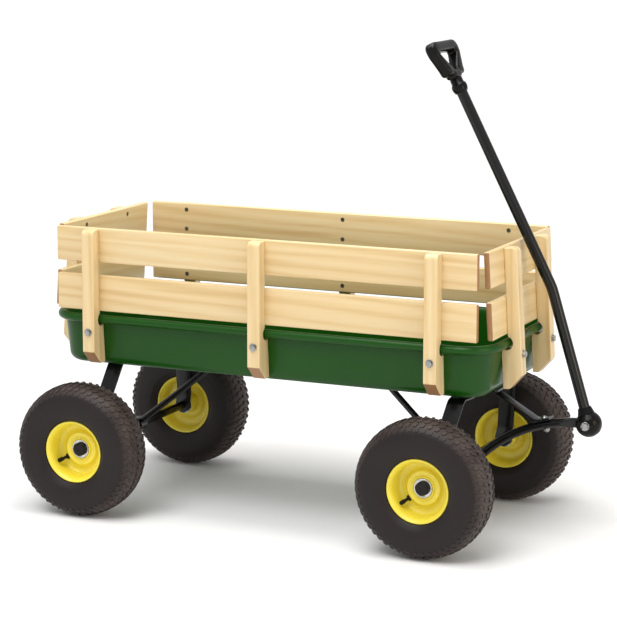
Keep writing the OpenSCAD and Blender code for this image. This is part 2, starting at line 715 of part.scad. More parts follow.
// The slot that the yoke's plate sweeps through the ball, from straight
// back at rest to the handle's lowest position.
swing = 127;
slot_h = yoke_h / 2 + side_gap;
slot_end = 180 + swing + 2;
module slot_sector() rotate([90, 0, 0]) linear_extrude(2 * slot_half, center = true) polygon(concat(
    [[0, slot_h], [-2 * ball_r, slot_h]],
    arc(0, 0, 2 * ball_r, 180, slot_end, 10),
    [
        [2 * ball_r * cos(slot_end) - slot_h * sin(slot_end),
         2 * ball_r * sin(slot_end) + slot_h * cos(slot_end)],
        [-slot_h * sin(slot_end), slot_h * cos(slot_end)]
    ]
));
module ball_body() {
    difference() {
        union() {
            sphere(ball_r);
            rotate([0, 90 - handle_low_a, 0]) translate([0, 0, ball_r - 5])
                cylinder(h = 12, r1 = handle_r + 5.5, r2 = handle_r + 2);
        }
        rotate([0, 90 - handle_low_a, 0]) translate([0, 0, -11]) cylinder(h = 60, r = handle_r + seat);
        rotate([90, 0, 0]) cylinder(h = 2 * slot_half, r = 11.8, center = true);
        slot_sector();
        rotate([90, 0, 0]) cylinder(h = 4 * ball_r, r = bolt_r + 0.1, center = true);
        for (s = [-1, 1]) translate([0, s * (ball_r + 8), 0]) rotate([90, 0, 0])
            cylinder(h = 20, r = 8.5, center = true);
    }
}
module shroud_half(dir) place() color(black_c) translate([pivot_x, 0, pivot_z]) intersection() {
    ball_body();
    translate([-2 * ball_r, dir > 0 ? seat / 2 : -2 * ball_r, -2 * ball_r])
        cube([4 * ball_r, 2 * ball_r - seat / 2, 4 * ball_r]);
}
pivot_seat = ball_r - 2;
module pivot_bolt() place() color(zinc_c) translate([pivot_x, 0, pivot_z]) rotate([90, 0, 0]) {
    cylinder(h = 2 * pivot_seat + 2, r = bolt_r, center = true);
    translate([0, 0, pivot_seat + seat]) cylinder(h = 1.6, r = 8);
    translate([0, 0, pivot_seat + seat]) cylinder(h = 6.8, r = 7.3, $fn = 6);
    translate([0, 0, -pivot_seat - seat - 6.8]) cylinder(h = 6.8, r = 7.3, $fn = 6);
}

// ---------------------------------------------------------------- wheels

// Wheels are drawn round Z with +Z on the outer side, then laid on the axle.
module on_axle(side, x) place() translate([x, side * half_track, axle_z])
    rotate([-side * 90, 0, 0]) children();

// A rounded section point: half width a, middle radius m, half height b.
function lobe(a, m, b, t) = [
    m + b * sign(sin(t)) * pow(abs(sin(t)), 0.77),
    a * sign(cos(t)) * pow(abs(cos(t)), 0.77)
];
tyre_m = tyre_r - 39;
tyre_wall = 6;
bead_seat = rim_r - 6.5;
// The rim's barrel and the middle of its rolled lips
barrel_r = bead_seat - 0.5;
lip_y = rim_r * 0.55;
// The tyre's bead, from outside the rim's lip in to its seat on the barrel
bead_line = [
    [rim_r + 0.5, lip_y + 2], [rim_r + 0.4, lip_y - 2.1], [barrel_r + 4, lip_y - 2.3],
    [bead_seat + 0.1, lip_y - 8.5], [bead_seat, lip_y - 13.5]
];
module tyre(side, x) on_axle(side, x) color(rubber_c) rotate_extrude($fn = 96) polygon(concat(
    [for (t = [-36:9:216]) lobe(tyre_w / 2, tyre_m, 39, t)],
    [for (i = [0:4]) [bead_line[i][0], -bead_line[i][1]]],
    [for (t = [225:-15:-45]) lobe(tyre_w / 2 - tyre_wall, tyre_m, 39 - tyre_wall, t)],
    [for (i = [4:-1:0]) bead_line[i]]
));

// The rim: a barrel with rolled lips, a dished disc and the hub's tube.
hub_r = bearing_r + 2.5;
module rim(side, x) on_axle(side, x) color(yellow_c) {
    rotate_extrude($fn = 96) {
        polygon([
            [barrel_r - 2, -lip_y + 7], [barrel_r + 3, -lip_y - 1], [barrel_r + 5, -lip_y],
            [barrel_r, -lip_y + 8], [barrel_r, lip_y - 8], [barrel_r + 5, lip_y],
            [barrel_r + 3, lip_y + 1], [barrel_r - 2, lip_y - 7]
        ]);
        for (s = [-1, 1]) translate([rim_r - 1.6, s * lip_y]) circle(1.6, $fn = 16);
        polygon([
            [hub_r - 1, 4], [30, 4], [34, -2], [barrel_r - 1, -3],
            [barrel_r - 1, -6], [33, -5], [29, 1], [hub_r - 1, 1]
        ]);
    }
    translate([0, 0, -hub_in]) ring(hub_in + hub_out, hub_r, bearing_r + 0.02);
}

bearing_t = 11;
module bearings(side, x) on_axle(side, x) color(zinc_c)
    for (z = [-hub_in, hub_out - bearing_t]) translate([0, 0, z])
    ring(bearing_t, bearing_r, axle_r + run);

// The valve stem leans out from the disc, at angle a round the wheel.
module valve(side, x, a) on_axle(side, x) color(black_c)
    rotate([0, 0, a]) translate([36, 0, -1.4]) rotate([0, 19, 0]) {
        cylinder(h = 26, r = 2.9);
        translate([0, 0, 15]) cylinder(h = 11, r = 3.7);
        translate([0, 0, 2]) cylinder(h = 3, r1 = 5, r2 = 3.4);
    }

tray();
side_slat(-1, up_slat_z, slat_up_h);  // slat_near_upper
side_slat(-1, low_slat_z, slat_low_h);  // slat_near_lower
side_slat(1, up_slat_z, slat_up_h);  // slat_far_upper
side_slat(1, low_slat_z, slat_low_h);  // slat_far_lower
end_slat(1, up_slat_z, slat_up_h);  // slat_front_upper
end_slat(1, low_slat_z, slat_low_h);  // slat_front_lower
end_slat(-1, up_slat_z, slat_up_h);  // slat_rear_upper
end_slat(-1, low_slat_z, slat_low_h);  // slat_rear_lower
side_stake(-1, -stake_pitch);  // stake_near_rear
side_stake(-1, 0);  // stake_near_middle
side_stake(-1, stake_pitch);  // stake_near_front
side_stake(1, -stake_pitch);  // stake_far_rear
side_stake(1, 0);  // stake_far_middle
side_stake(1, stake_pitch);  // stake_far_front
end_stake(1, -end_stake_y);  // stake_front_near
end_stake(1, end_stake_y);  // stake_front_far
end_stake(-1, -end_stake_y);  // stake_rear_near
end_stake(-1, end_stake_y);  // stake_rear_far
slat_screws();
stake_bolts();
stake_nuts();
frame_bolts();
rear_bracket();
rear_axle();
rear_brace();
rear_axle_caps();
bolster_plate();
front_brace();
king_pin_bolts();
pivot_washers();
front_bracket();
front_axle();
front_axle_caps();
tongue_tube();
tongue_strap();
tongue_bolt();
handle_tube();
handle_collar();
handle_grip();
shroud_half(-1);  // ball_shroud_near
shroud_half(1);  // ball_shroud_far
pivot_bolt();
tyre(-1, -rear_x);  // tyre_near_rear
rim(-1, -rear_x);  // rim_near_rear
bearings(-1, -rear_x);  // bearings_near_rear
valve(-1, -rear_x, 211);  // valve_near_rear
tyre(1, -rear_x);  // tyre_far_rear
rim(1, -rear_x);  // rim_far_rear
bearings(1, -rear_x);  // bearings_far_rear
valve(1, -rear_x, 140);  // valve_far_rear
tyre(-1, front_x);  // tyre_near_front
rim(-1, front_x);  // rim_near_front
bearings(-1, front_x);  // bearings_near_front
valve(-1, front_x, 218);  // valve_near_front
tyre(1, front_x);  // tyre_far_front
rim(1, front_x);  // rim_far_front
bearings(1, front_x);  // bearings_far_front
valve(1, front_x, 60);  // valve_far_front
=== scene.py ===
"""Looks of a pull wagon: pressed green tray, varnished stake sides, yellow
wheels with block-tread tyres, black running gear and a folding handle.

All lengths in the classes are millimetres unless a name says otherwise; the
meshes themselves are in metres, in the same frame as the CAD part.
"""

import logging  # noqa: E402
import math  # noqa: E402
from dataclasses import dataclass, field  # noqa: E402
from enum import Enum  # noqa: E402

import bmesh  # noqa: E402
import bpy  # noqa: E402
import numpy as np  # noqa: E402
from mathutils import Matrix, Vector  # noqa: E402

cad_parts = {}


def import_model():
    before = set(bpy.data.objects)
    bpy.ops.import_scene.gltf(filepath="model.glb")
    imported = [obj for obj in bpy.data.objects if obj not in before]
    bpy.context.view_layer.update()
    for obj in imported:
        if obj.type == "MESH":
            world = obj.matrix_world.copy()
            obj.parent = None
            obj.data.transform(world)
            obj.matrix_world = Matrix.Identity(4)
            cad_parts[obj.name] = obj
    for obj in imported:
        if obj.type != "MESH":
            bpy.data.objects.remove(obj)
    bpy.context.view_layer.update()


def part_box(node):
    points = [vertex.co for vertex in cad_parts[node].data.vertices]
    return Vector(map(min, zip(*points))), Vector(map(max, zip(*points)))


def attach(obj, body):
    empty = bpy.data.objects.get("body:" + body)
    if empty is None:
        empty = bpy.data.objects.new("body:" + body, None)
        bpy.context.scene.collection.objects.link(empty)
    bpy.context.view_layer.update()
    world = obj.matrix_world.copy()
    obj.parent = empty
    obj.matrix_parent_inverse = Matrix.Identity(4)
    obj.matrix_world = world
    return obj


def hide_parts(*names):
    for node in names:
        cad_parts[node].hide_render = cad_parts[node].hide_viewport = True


LOG = logging.getLogger("wagon")
MM = 0.001
AXLE_Z = 127.0
Colour = tuple[float, float, float]
Triple = tuple[float, float, float]


class Axis(Enum):
    """A row axis, as its place in a point."""

    X = 0
    Y = 1
    Z = 2


class Side(Enum):
    """Which side of the wagon a piece is on, as the sign of its Y."""

    NEAR = -1
    FAR = 1


# --------------------------------------------------------------- surfaces


@dataclass
class Shape:
    """Points in millimetres and the faces between them."""

    points: np.ndarray
    faces: list[list[int]]

    def moved(self, x: float = 0.0, y: float = 0.0, z: float = 0.0) -> "Shape":
        """The shape shifted along the row axes."""
        return Shape(self.points + np.array([x, y, z]), self.faces)

    def turned(self, axis: Axis, degrees: float) -> "Shape":
        """The shape turned about a row axis through the origin.

        Args:
            axis: The axis to turn about.
            degrees: The angle by the right-hand rule.

        Returns:
            The turned shape.
        """
        c, s = math.cos(math.radians(degrees)), math.sin(math.radians(degrees))
        a, b = [(1, 2), (2, 0), (0, 1)][axis.value]
        turn = np.eye(3)
        turn[a, a], turn[a, b], turn[b, a], turn[b, b] = c, -s, s, c
        return Shape(self.points @ turn.T, self.faces)


def together(shapes: list[Shape]) -> Shape:
    """Several shapes as one.

    Args:
        shapes: The shapes to join.

    Returns:
        All of them in one.
    """
    faces: list[list[int]] = []
    start = 0
    for shape in shapes:
        faces.extend([[i + start for i in face] for face in shape.faces])
        start += len(shape.points)
    return Shape(np.vstack([s.points for s in shapes]), faces)


def arc(cx: float, cy: float, r: float, a: float, b: float, n: int) -> np.ndarray:
    """Points at angles a to b, in degrees, on the circle of radius r round (cx, cy)."""
    t = np.radians(np.linspace(a, b, n + 1))
    return np.stack([cx + r * np.cos(t), cy + r * np.sin(t)], 1)


def grid(points: np.ndarray, wrap_u: bool = False, wrap_v: bool = False) -> Shape:
    """A surface through a grid of points.

    The quad at (i, j) joins the points (i, j), (i+1, j), (i+1, j+1) and
    (i, j+1); a wrapped direction joins its last row to its first.

    Args:
        points: An array of shape (nu, nv, 3).
        wrap_u: Whether the first direction closes on itself.
        wrap_v: Whether the second direction closes on itself.

    Returns:
        The surface.
    """
    nu, nv = points.shape[:2]
    i = np.arange(nu if wrap_u else nu - 1)[:, None]
    j = np.arange(nv if wrap_v else nv - 1)[None, :]
    i2, j2 = (i + 1) % nu, (j + 1) % nv
    quads = np.stack([i * nv + j, i2 * nv + j, i2 * nv + j2, i * nv + j2], -1)
    return Shape(points.reshape(-1, 3), quads.reshape(-1, 4).tolist())


def lathe(profile: np.ndarray, steps: int = 48, closed: bool = False) -> Shape:
    """A profile of (radius, height) turned about Z.

    The point at step k is (r cos a, r sin a, h) with a = 2 pi k / steps.

    Args:
        profile: An array of shape (n, 2).
        steps: How many steps make the full turn.
        closed: Whether the profile's last point joins its first.

    Returns:
        The surface of revolution.
    """
    a = np.linspace(0, 2 * np.pi, steps, endpoint=False)[:, None]
    r, h = profile[None, :, 0], profile[None, :, 1]
    points = np.stack([r * np.cos(a), r * np.sin(a), h + 0 * a], -1)
    return grid(points, wrap_u=True, wrap_v=closed)


def carried(sections: np.ndarray, path: np.ndarray, across: np.ndarray, up: np.ndarray) -> Shape:
    """Closed sections carried along a path, with a face over each end.

    The point of section k at (s, t) is path[k] + s across[k] + t up[k].

    Args:
        sections: An array of shape (k, m, 2).
        path: The path's points, of shape (k, 3).
        across: The direction of s at each point of the path.
        up: The direction of t at each point of the path.

    Returns:
        The closed surface.
    """
    points = (
        path[:, None, :]
        + sections[:, :, 0:1] * across[:, None, :]
        + sections[:, :, 1:2] * up[:, None, :]
    )
    shape = grid(points, wrap_v=True)
    k, m = points.shape[:2]
    shape.faces.append(list(range(m))[::-1])
    shape.faces.append(list(range((k - 1) * m, k * m)))
    return shape


def rounded(width: float, height: float, r: float, steps: int = 4) -> np.ndarray:
    """The outline of a width by height rectangle with corners of radius r.

    Args:
        width: Its size in the first direction.
        height: Its size in the second.
        r: The corners' radius.
        steps: The steps in each corner.

    Returns:
        The outline's points, anticlockwise.
    """
    x, y = width / 2 - r, height / 2 - r
    return np.vstack([
        arc(x, y, r, 0, 90, steps), arc(-x, y, r, 90, 180, steps),
        arc(-x, -y, r, 180, 270, steps), arc(x, -y, r, 270, 360, steps),
    ])


def board(length: float, width: float, height: float, ease: float) -> Shape:
    """A board along X with every edge eased by a quarter circle.

    At a distance x = ease (1 - cos q) from an end the section shrinks by
    ease (1 - sin q) all round, for q from 0 to 90 degrees.

    Args:
        length: Its size along X.
        width: Its size along Y.
        height: Its size along Z.
        ease: The radius of the eased edges.

    Returns:
        The board, centred on the origin.
    """
    q = np.radians(np.linspace(0, 90, 5))
    inset = ease * (1 - np.sin(q))
    x = ease * (1 - np.cos(q))
    stations = np.concatenate([x - length / 2, length / 2 - x[::-1]])
    insets = np.concatenate([inset, inset[::-1]])
    outline = rounded(width, height, ease)
    scale = 1 - 2 * insets[:, None] / np.array([[width, height]])
    sections = outline[None] * scale[:, None, :]
    k = len(stations)
    path = np.stack([stations, 0 * stations, 0 * stations], 1)
    return carried(sections, path, np.tile([0.0, 1, 0], (k, 1)), np.tile([0.0, 0, 1], (k, 1)))


def prism(outline: np.ndarray, thickness: float, hole: np.ndarray | None = None) -> Shape:
    """An outline in X and Z given a thickness along Y, with an optional hole.

    Args:
        outline: Points (x, z) round the shape.
        thickness: Its size along Y, half on each side of y = 0.
        hole: As many points (x, z) round a hole in it.

    Returns:
        The closed prism.
    """
    n = len(outline)

    def loops(line: np.ndarray) -> np.ndarray:
        """Both copies of an outline, half the thickness to each side."""
        low = np.stack([line[:, 0], 0 * line[:, 0] - thickness / 2, line[:, 1]], 1)
        return np.stack([low, low + [0, thickness, 0]], 1)

    if hole is None:
        shape = grid(loops(outline), wrap_u=True)
        shape.faces.append([2 * i for i in range(n)])
        shape.faces.append([2 * i + 1 for i in range(n)][::-1])
        return shape
    out, inner = loops(outline), loops(hole)
    around = np.stack([out[:, 0], out[:, 1], inner[:, 1], inner[:, 0]], 1)
    return grid(around, wrap_u=True, wrap_v=True)


def even_loop(points: np.ndarray, n: int) -> np.ndarray:
    """n points evenly spaced along a closed outline, from its rightmost middle.

    Args:
        points: The outline's points.
        n: How many points to make.

    Returns:
        The evenly spaced points.
    """
    first = int(np.argmax(points[:, 0] - 0.01 * np.abs(points[:, 1])))
    loop = np.roll(points, -first, 0)
    loop = np.vstack([loop, loop[:1]])
    run = np.concatenate([[0], np.cumsum(np.linalg.norm(np.diff(loop, axis=0), axis=1))])
    at = np.linspace(0, run[-1], n, endpoint=False)
    return np.stack([np.interp(at, run, loop[:, 0]), np.interp(at, run, loop[:, 1])], 1)


def flat_path(line: np.ndarray) -> tuple[np.ndarray, np.ndarray, np.ndarray]:
    """A path in the middle plane from points (x, z), with its two directions.

    Args:
        line: The path's points (x, z).

    Returns:
        The points, the direction across, which is +Y, and the direction
        square to both the path and +Y.
    """
    step = np.gradient(line, axis=0)
    step = step / np.linalg.norm(step, axis=1)[:, None]
    zero = 0 * line[:, 0]
    path = np.stack([line[:, 0], zero, line[:, 1]], 1)
    up = np.stack([-step[:, 1], zero, step[:, 0]], 1)
    return path, np.tile([0.0, 1, 0], (len(line), 1)), up


# -------------------------------------------------------------- materials


class Recipe:
    """A material's node tree while it is put together."""

    def __init__(self, name: str) -> None:
        """Start a material with a principled shader and object coordinates.

        Args:
            name: The material's name.
        """
        self.material = bpy.data.materials.new(name)
        self.material.use_nodes = True
        self.tree = self.material.node_tree
        self.tree.nodes.clear()
        self.shader = self.node("ShaderNodeBsdfPrincipled")
        output = self.node("ShaderNodeOutputMaterial")
        self.link(self.shader.outputs["BSDF"], output.inputs["Surface"])
        self.coords = self.node("ShaderNodeTexCoord").outputs["Object"]

    def node(self, kind: str, **settings: object) -> bpy.types.Node:
        """A new node with its settings.

        Args:
            kind: The node's type.
            settings: Its properties by name.

        Returns:
            The node.
        """
        made = self.tree.nodes.new(kind)
        for key, value in settings.items():
            setattr(made, key, value)
        return made

    def link(self, a: bpy.types.NodeSocket, b: bpy.types.NodeSocket) -> None:
        """Join an output to an input."""
        self.tree.links.new(a, b)

    def set(self, **values: object) -> None:
        """Set uniform values on the shader's own sockets, by name with _ for spaces."""
        for key, value in values.items():
            self.shader.inputs[key.replace("_", " ")].default_value = value

    def place(self, scale: Triple, shift: Triple = (0.0, 0.0, 0.0)) -> bpy.types.NodeSocket:
        """Object coordinates stretched and shifted.

        Args:
            scale: The stretch along each axis.
            shift: The shift along each axis.

        Returns:
            The coordinates.
        """
        mapping = self.node("ShaderNodeMapping")
        self.link(self.coords, mapping.inputs["Vector"])
        mapping.inputs["Location"].default_value = shift
        mapping.inputs["Scale"].default_value = scale
        return mapping.outputs["Vector"]

    def noise(self, at: bpy.types.NodeSocket, scale: float = 1.0, detail: float = 3.0,
              rough: float = 0.55, warp: float = 0.0) -> bpy.types.NodeSocket:
        """Noise from 0 to 1.

        Args:
            at: Where to read it.
            scale: Its scale.
            detail: Its octaves.
            rough: Its roughness.
            warp: How much it is distorted.

        Returns:
            The noise's value.
        """
        made = self.node("ShaderNodeTexNoise")
        self.link(at, made.inputs["Vector"])
        for key, value in (("Scale", scale), ("Detail", detail), ("Roughness", rough), ("Distortion", warp)):
            made.inputs[key].default_value = value
        return made.outputs["Fac"]

    def ramp(self, value: bpy.types.NodeSocket, stops: list[tuple[float, Colour]]) -> bpy.types.NodeSocket:
        """Colours picked by a value, from stops of place and colour.

        Args:
            value: Where on the ramp to read.
            stops: Each stop's place and colour.

        Returns:
            The picked colour.
        """
        made = self.node("ShaderNodeValToRGB")
        self.link(value, made.inputs["Fac"])
        elements = made.color_ramp.elements
        while len(elements) < len(stops):
            elements.new(0.5)
        for element, (place, colour) in zip(elements, stops):
            element.position = place
            element.color = (*colour, 1.0)
        return made.outputs["Color"]

    def spread(self, value: bpy.types.NodeSocket, low: float, high: float,
               start: float = 0.3, stop: float = 0.7) -> bpy.types.NodeSocket:
        """A value from start to stop spread over low to high.

        Args:
            value: The value.
            low: The result at start.
            high: The result at stop.
            start: The value where it starts.
            stop: The value where it stops.

        Returns:
            The spread value.
        """
        made = self.node("ShaderNodeMapRange")
        self.link(value, made.inputs["Value"])
        for key, number in (("From Min", start), ("From Max", stop), ("To Min", low), ("To Max", high)):
            made.inputs[key].default_value = number
        return made.outputs["Result"]

    def sum(self, kind: str, a: bpy.types.NodeSocket,
            b: bpy.types.NodeSocket | float) -> bpy.types.NodeSocket:
        """Arithmetic of the given kind on two values.

        Args:
            kind: The operation's name.
            a: The first value.
            b: The second value.

        Returns:
            The result.
        """
        made = self.node("ShaderNodeMath", operation=kind)
        self.link(a, made.inputs[0])
        if isinstance(b, float):
            made.inputs[1].default_value = b
        else:
            self.link(b, made.inputs[1])
        return made.outputs[0]

    def mix(self, share: bpy.types.NodeSocket, a: bpy.types.NodeSocket | Colour,
            b: bpy.types.NodeSocket | Colour, kind: str = "MIX") -> bpy.types.NodeSocket:
        """Colour a turned into colour b by a share.

        Args:
            share: The share of b, from 0 to 1.
            a: The colour at 0.
            b: The colour at 1.
            kind: How they are blended.

        Returns:
            The mixed colour.
        """
        made = self.node("ShaderNodeMix", data_type="RGBA", blend_type=kind)
        self.link(share, made.inputs[0])
        for at, colour in ((6, a), (7, b)):
            if isinstance(colour, tuple):
                made.inputs[at].default_value = (*colour, 1.0)
            else:
                self.link(colour, made.inputs[at])
        return made.outputs[2]

    def bump(self, height: bpy.types.NodeSocket, depth_mm: float, strength: float = 1.0) -> None:
        """Roughen the surface by a height map of the given depth.

        Args:
            height: The height map, from 0 to 1.
            depth_mm: Its depth in millimetres.
            strength: How strongly it shows.
        """
        made = self.node("ShaderNodeBump")
        made.inputs["Strength"].default_value = strength
        made.inputs["Distance"].default_value = depth_mm * MM
        self.link(height, made.inputs["Height"])
        self.link(made.outputs["Normal"], self.shader.inputs["Normal"])


@dataclass(frozen=True)
class Varnish:
    """Varnished softwood with its grain along one axis."""

    along: Axis
    shift: float = 0.0
    pale: Colour = (0.735, 0.575, 0.325)
    mid: Colour = (0.685, 0.505, 0.255)
    dark: Colour = (0.55, 0.35, 0.138)
    # Dark colour of the end grain; on the stakes' feet it also stands in for shade, so there it is partly
    # painted shade.
    end_grain_and_shade: Colour = (0.27, 0.115, 0.035)
    # Whether the dark colour goes only on faces that look down: painted shade at the stakes' feet.
    painted_shade_below_only: bool = False

    def stretch(self, along: float, across: float) -> Triple:
        """A mapping scale with one value along the grain and one across it.

        Args:
            along: The value along the grain.
            across: The value across it.

        Returns:
            The scale for each row axis.
        """
        scale = [across] * 3
        scale[self.along.value] = along
        return (scale[0], scale[1], scale[2])

    def material(self, name: str) -> bpy.types.Material:
        """The wood: broad growth bands, fine streaks, darker end grain, which on the stakes goes only on
        faces that look down, as painted shade.

        Args:
            name: The material's name.

        Returns:
            The finished material.
        """
        r = Recipe(name)
        shift = (self.shift, 0.37 * self.shift, 0.71 * self.shift)
        broad = r.noise(r.place(self.stretch(1.6, 17.0), shift), detail=4.0, warp=0.9)
        rings = r.node("ShaderNodeTexWave", wave_type="BANDS", bands_direction="DIAGONAL")
        r.link(r.place(self.stretch(1.4, 30.0), shift), rings.inputs["Vector"])
        for key, value in (("Scale", 1.0), ("Distortion", 7.0), ("Detail", 2.0), ("Detail Scale", 0.8)):
            rings.inputs[key].default_value = value
        streaks = r.noise(r.place(self.stretch(5.0, 260.0), shift), detail=3.0, rough=0.7)
        pores = r.noise(r.place(self.stretch(16.0, 900.0), shift), detail=2.0)
        tone = r.sum("ADD", r.sum("MULTIPLY", broad, 0.6), r.sum("MULTIPLY", rings.outputs["Fac"], 0.22))
        tone = r.sum("ADD", tone, r.sum("MULTIPLY", streaks, 0.24))
        colour = r.ramp(tone, [(0.33, self.pale), (0.58, self.mid), (0.82, self.dark)])
        colour = r.mix(r.spread(pores, 0.0, 0.35, 0.60, 0.78), colour, self.dark)
        normal = r.node("ShaderNodeSeparateXYZ")
        geometry = r.node("ShaderNodeNewGeometry")
        r.link(geometry.outputs["Normal"], normal.inputs["Vector"])
        # On the stakes the dark colour goes only on faces that look down: end grain with painted shade. On
        # the slats it goes on both ends as end grain.
        kind = ("MULTIPLY", -1.0) if self.painted_shade_below_only else ("ABSOLUTE", 0.0)
        facing = r.sum(kind[0], normal.outputs[self.along.value], kind[1])
        colour = r.mix(r.spread(facing, 0.0, 0.9, 0.5, 0.68), colour, self.end_grain_and_shade)
        r.link(colour, r.shader.inputs["Base Color"])
        r.link(r.spread(streaks, 0.36, 0.52), r.shader.inputs["Roughness"])
        r.set(Coat_Weight=0.35, Coat_Roughness=0.22, Specular_IOR_Level=0.4)
        r.bump(r.sum("ADD", streaks, r.sum("MULTIPLY", broad, 0.6)), 0.18, 0.5)
        return r.material


@dataclass(frozen=True)
class Enamel:
    """Gloss paint on steel, with a faint orange peel and a little dust."""

    colour: Colour
    dust: Colour
    gloss: float = 0.22
    coat: float = 0.6
    coat_roughness: float = 0.06
    specular: float = 0.5

    def material(self, name: str) -> bpy.types.Material:
        """The paint: slow tone changes, dust in patches, orange-peel bump.

        Args:
            name: The material's name.

        Returns:
            The finished material.
        """
        r = Recipe(name)
        slow = r.noise(r.place((4.0, 4.0, 4.0)), detail=3.0)
        fine = r.noise(r.place((260.0, 260.0, 260.0)), detail=2.0)
        deep = tuple(0.86 * c for c in self.colour)
        colour = r.mix(r.spread(slow, 0.0, 1.0, 0.35, 0.65), self.colour, (deep[0], deep[1], deep[2]))
        patches = r.sum("MULTIPLY", r.spread(slow, 0.0, 0.10, 0.45, 0.75), r.spread(fine, 0.2, 1.0))
        r.link(r.mix(patches, colour, self.dust), r.shader.inputs["Base Color"])
        r.link(r.spread(slow, self.gloss * 0.8, self.gloss * 1.3), r.shader.inputs["Roughness"])
        r.set(Coat_Weight=self.coat, Coat_Roughness=self.coat_roughness, Specular_IOR_Level=self.specular)
        r.bump(fine, 0.05, 0.25)
        return r.material


@dataclass(frozen=True)
class TyreRubber:
    """Matt brown-black rubber with a dusty bloom and a painted sheen on the outer tread."""

    colour: Colour = (0.0085, 0.0048, 0.0045)
    bloom: Colour = (0.024, 0.017, 0.016)
    # Lighter colour of the outer tread: a painted sheen for light from above.
    tread: Colour = (0.070, 0.052, 0.047)
    roughness: float = 0.52

    def material(self, name: str) -> bpy.types.Material:
        """The rubber: cloudy bloom, a painted sheen on the outer tread and a fine moulded skin.

        Args:
            name: The material's name.

        Returns:
            The finished material.
        """
        r = Recipe(name)
        cloud = r.noise(r.place((24.0, 24.0, 24.0)), detail=5.0, rough=0.65)
        fine = r.noise(r.place((700.0, 700.0, 700.0)), detail=2.0)
        share = r.spread(cloud, 0.05, 0.42, 0.35, 0.75)
        # Painted sheen: the outer tread, marked by radius, is lightened towards the tread colour as if lit
        # from above.
        tread_sheen = r.node("ShaderNodeAttribute", attribute_name="tread").outputs["Fac"]
        tread_sheen = r.sum("MULTIPLY", tread_sheen, r.spread(cloud, 0.35, 1.0, 0.35, 0.65))
        colour = r.mix(share, self.colour, self.bloom)
        r.link(r.mix(tread_sheen, colour, self.tread), r.shader.inputs["Base Color"])
        r.link(r.spread(cloud, self.roughness - 0.06, self.roughness + 0.1), r.shader.inputs["Roughness"])
        r.set(Specular_IOR_Level=0.30)
        r.bump(fine, 0.06, 0.35)
        return r.material


@dataclass(frozen=True)
class MouldedPlastic:
    """Black moulded plastic with a fine satin texture."""

    colour: Colour = (0.0030, 0.0026, 0.0026)
    roughness: float = 0.24
    specular: float = 0.16

    def material(self, name: str) -> bpy.types.Material:
        """The plastic: uneven gloss over a spark-eroded skin.

        Args:
            name: The material's name.

        Returns:
            The finished material.
        """
        r = Recipe(name)
        fine = r.noise(r.place((900.0, 900.0, 900.0)), detail=2.0)
        slow = r.noise(r.place((30.0, 30.0, 30.0)), detail=3.0)
        lighter = tuple(2.2 * c + 0.001 for c in self.colour)
        r.link(r.mix(r.spread(slow, 0.0, 0.5), self.colour, (lighter[0], lighter[1], lighter[2])),
               r.shader.inputs["Base Color"])
        r.link(r.spread(slow, self.roughness - 0.05, self.roughness + 0.1), r.shader.inputs["Roughness"])
        r.set(Specular_IOR_Level=self.specular)
        r.bump(fine, 0.04, 0.3)
        return r.material


@dataclass(frozen=True)
class ZincPlate:
    """Bright zinc plate with brushed variation."""

    colour: Colour = (0.42, 0.42, 0.41)
    roughness: float = 0.30

    def material(self, name: str) -> bpy.types.Material:
        """The plate: a metal whose shade and gloss wander slightly.

        Args:
            name: The material's name.

        Returns:
            The finished material.
        """
        r = Recipe(name)
        slow = r.noise(r.place((120.0, 120.0, 120.0)), detail=4.0)
        dull = tuple(0.72 * c for c in self.colour)
        r.link(r.mix(r.spread(slow, 0.0, 1.0), self.colour, (dull[0], dull[1], dull[2])),
               r.shader.inputs["Base Color"])
        r.link(r.spread(slow, self.roughness - 0.08, self.roughness + 0.12), r.shader.inputs["Roughness"])
        r.set(Metallic=1.0)
        r.bump(slow, 0.03, 0.3)
        return r.material


class Paintbox:
    """Every material of the wagon, made once."""

    def __init__(self) -> None:
        """Make the shared materials."""
        self.green = Enamel((0.0050, 0.060, 0.0012), (0.020, 0.072, 0.012), gloss=0.34, coat=0.14,
                            coat_roughness=0.18, specular=0.18).material("green_enamel")
        self.yellow = Enamel((0.90, 0.74, 0.055), (0.75, 0.60, 0.16), gloss=0.36, coat=0.25,
                             coat_roughness=0.2).material("yellow_enamel")
        self.black = Enamel((0.004, 0.004, 0.0042), (0.02, 0.019, 0.018), gloss=0.24, coat=0.15,
                            coat_roughness=0.12, specular=0.30).material("black_enamel")
        self.plastic = MouldedPlastic().material("black_plastic")
        self.cap = MouldedPlastic((0.010, 0.009, 0.009), 0.34).material("cap_plastic")
        self.rubber = TyreRubber().material("tyre_rubber")
        self.valve = MouldedPlastic((0.006, 0.006, 0.006), 0.45).material("valve_rubber")
        self.zinc = ZincPlate().material("zinc_plate")
        self.screw = ZincPlate((0.16, 0.15, 0.14), 0.42).material("screw_steel")
        self.steel = ZincPlate((0.68, 0.67, 0.65), 0.24).material("bearing_steel")

    def wood(self, along: Axis, number: int) -> bpy.types.Material:
        """Wood for one board, with its own part of the grain pattern."""
        # Stakes, with grain along Z, get the dark colour only underneath, as painted shade over their end
        # grain.
        finish = Varnish(along, 3.7 * number + 1.3, painted_shade_below_only=along is Axis.Z)
        return finish.material(f"varnished_wood_{number:02d}")


# ------------------------------------------------------------ piece making


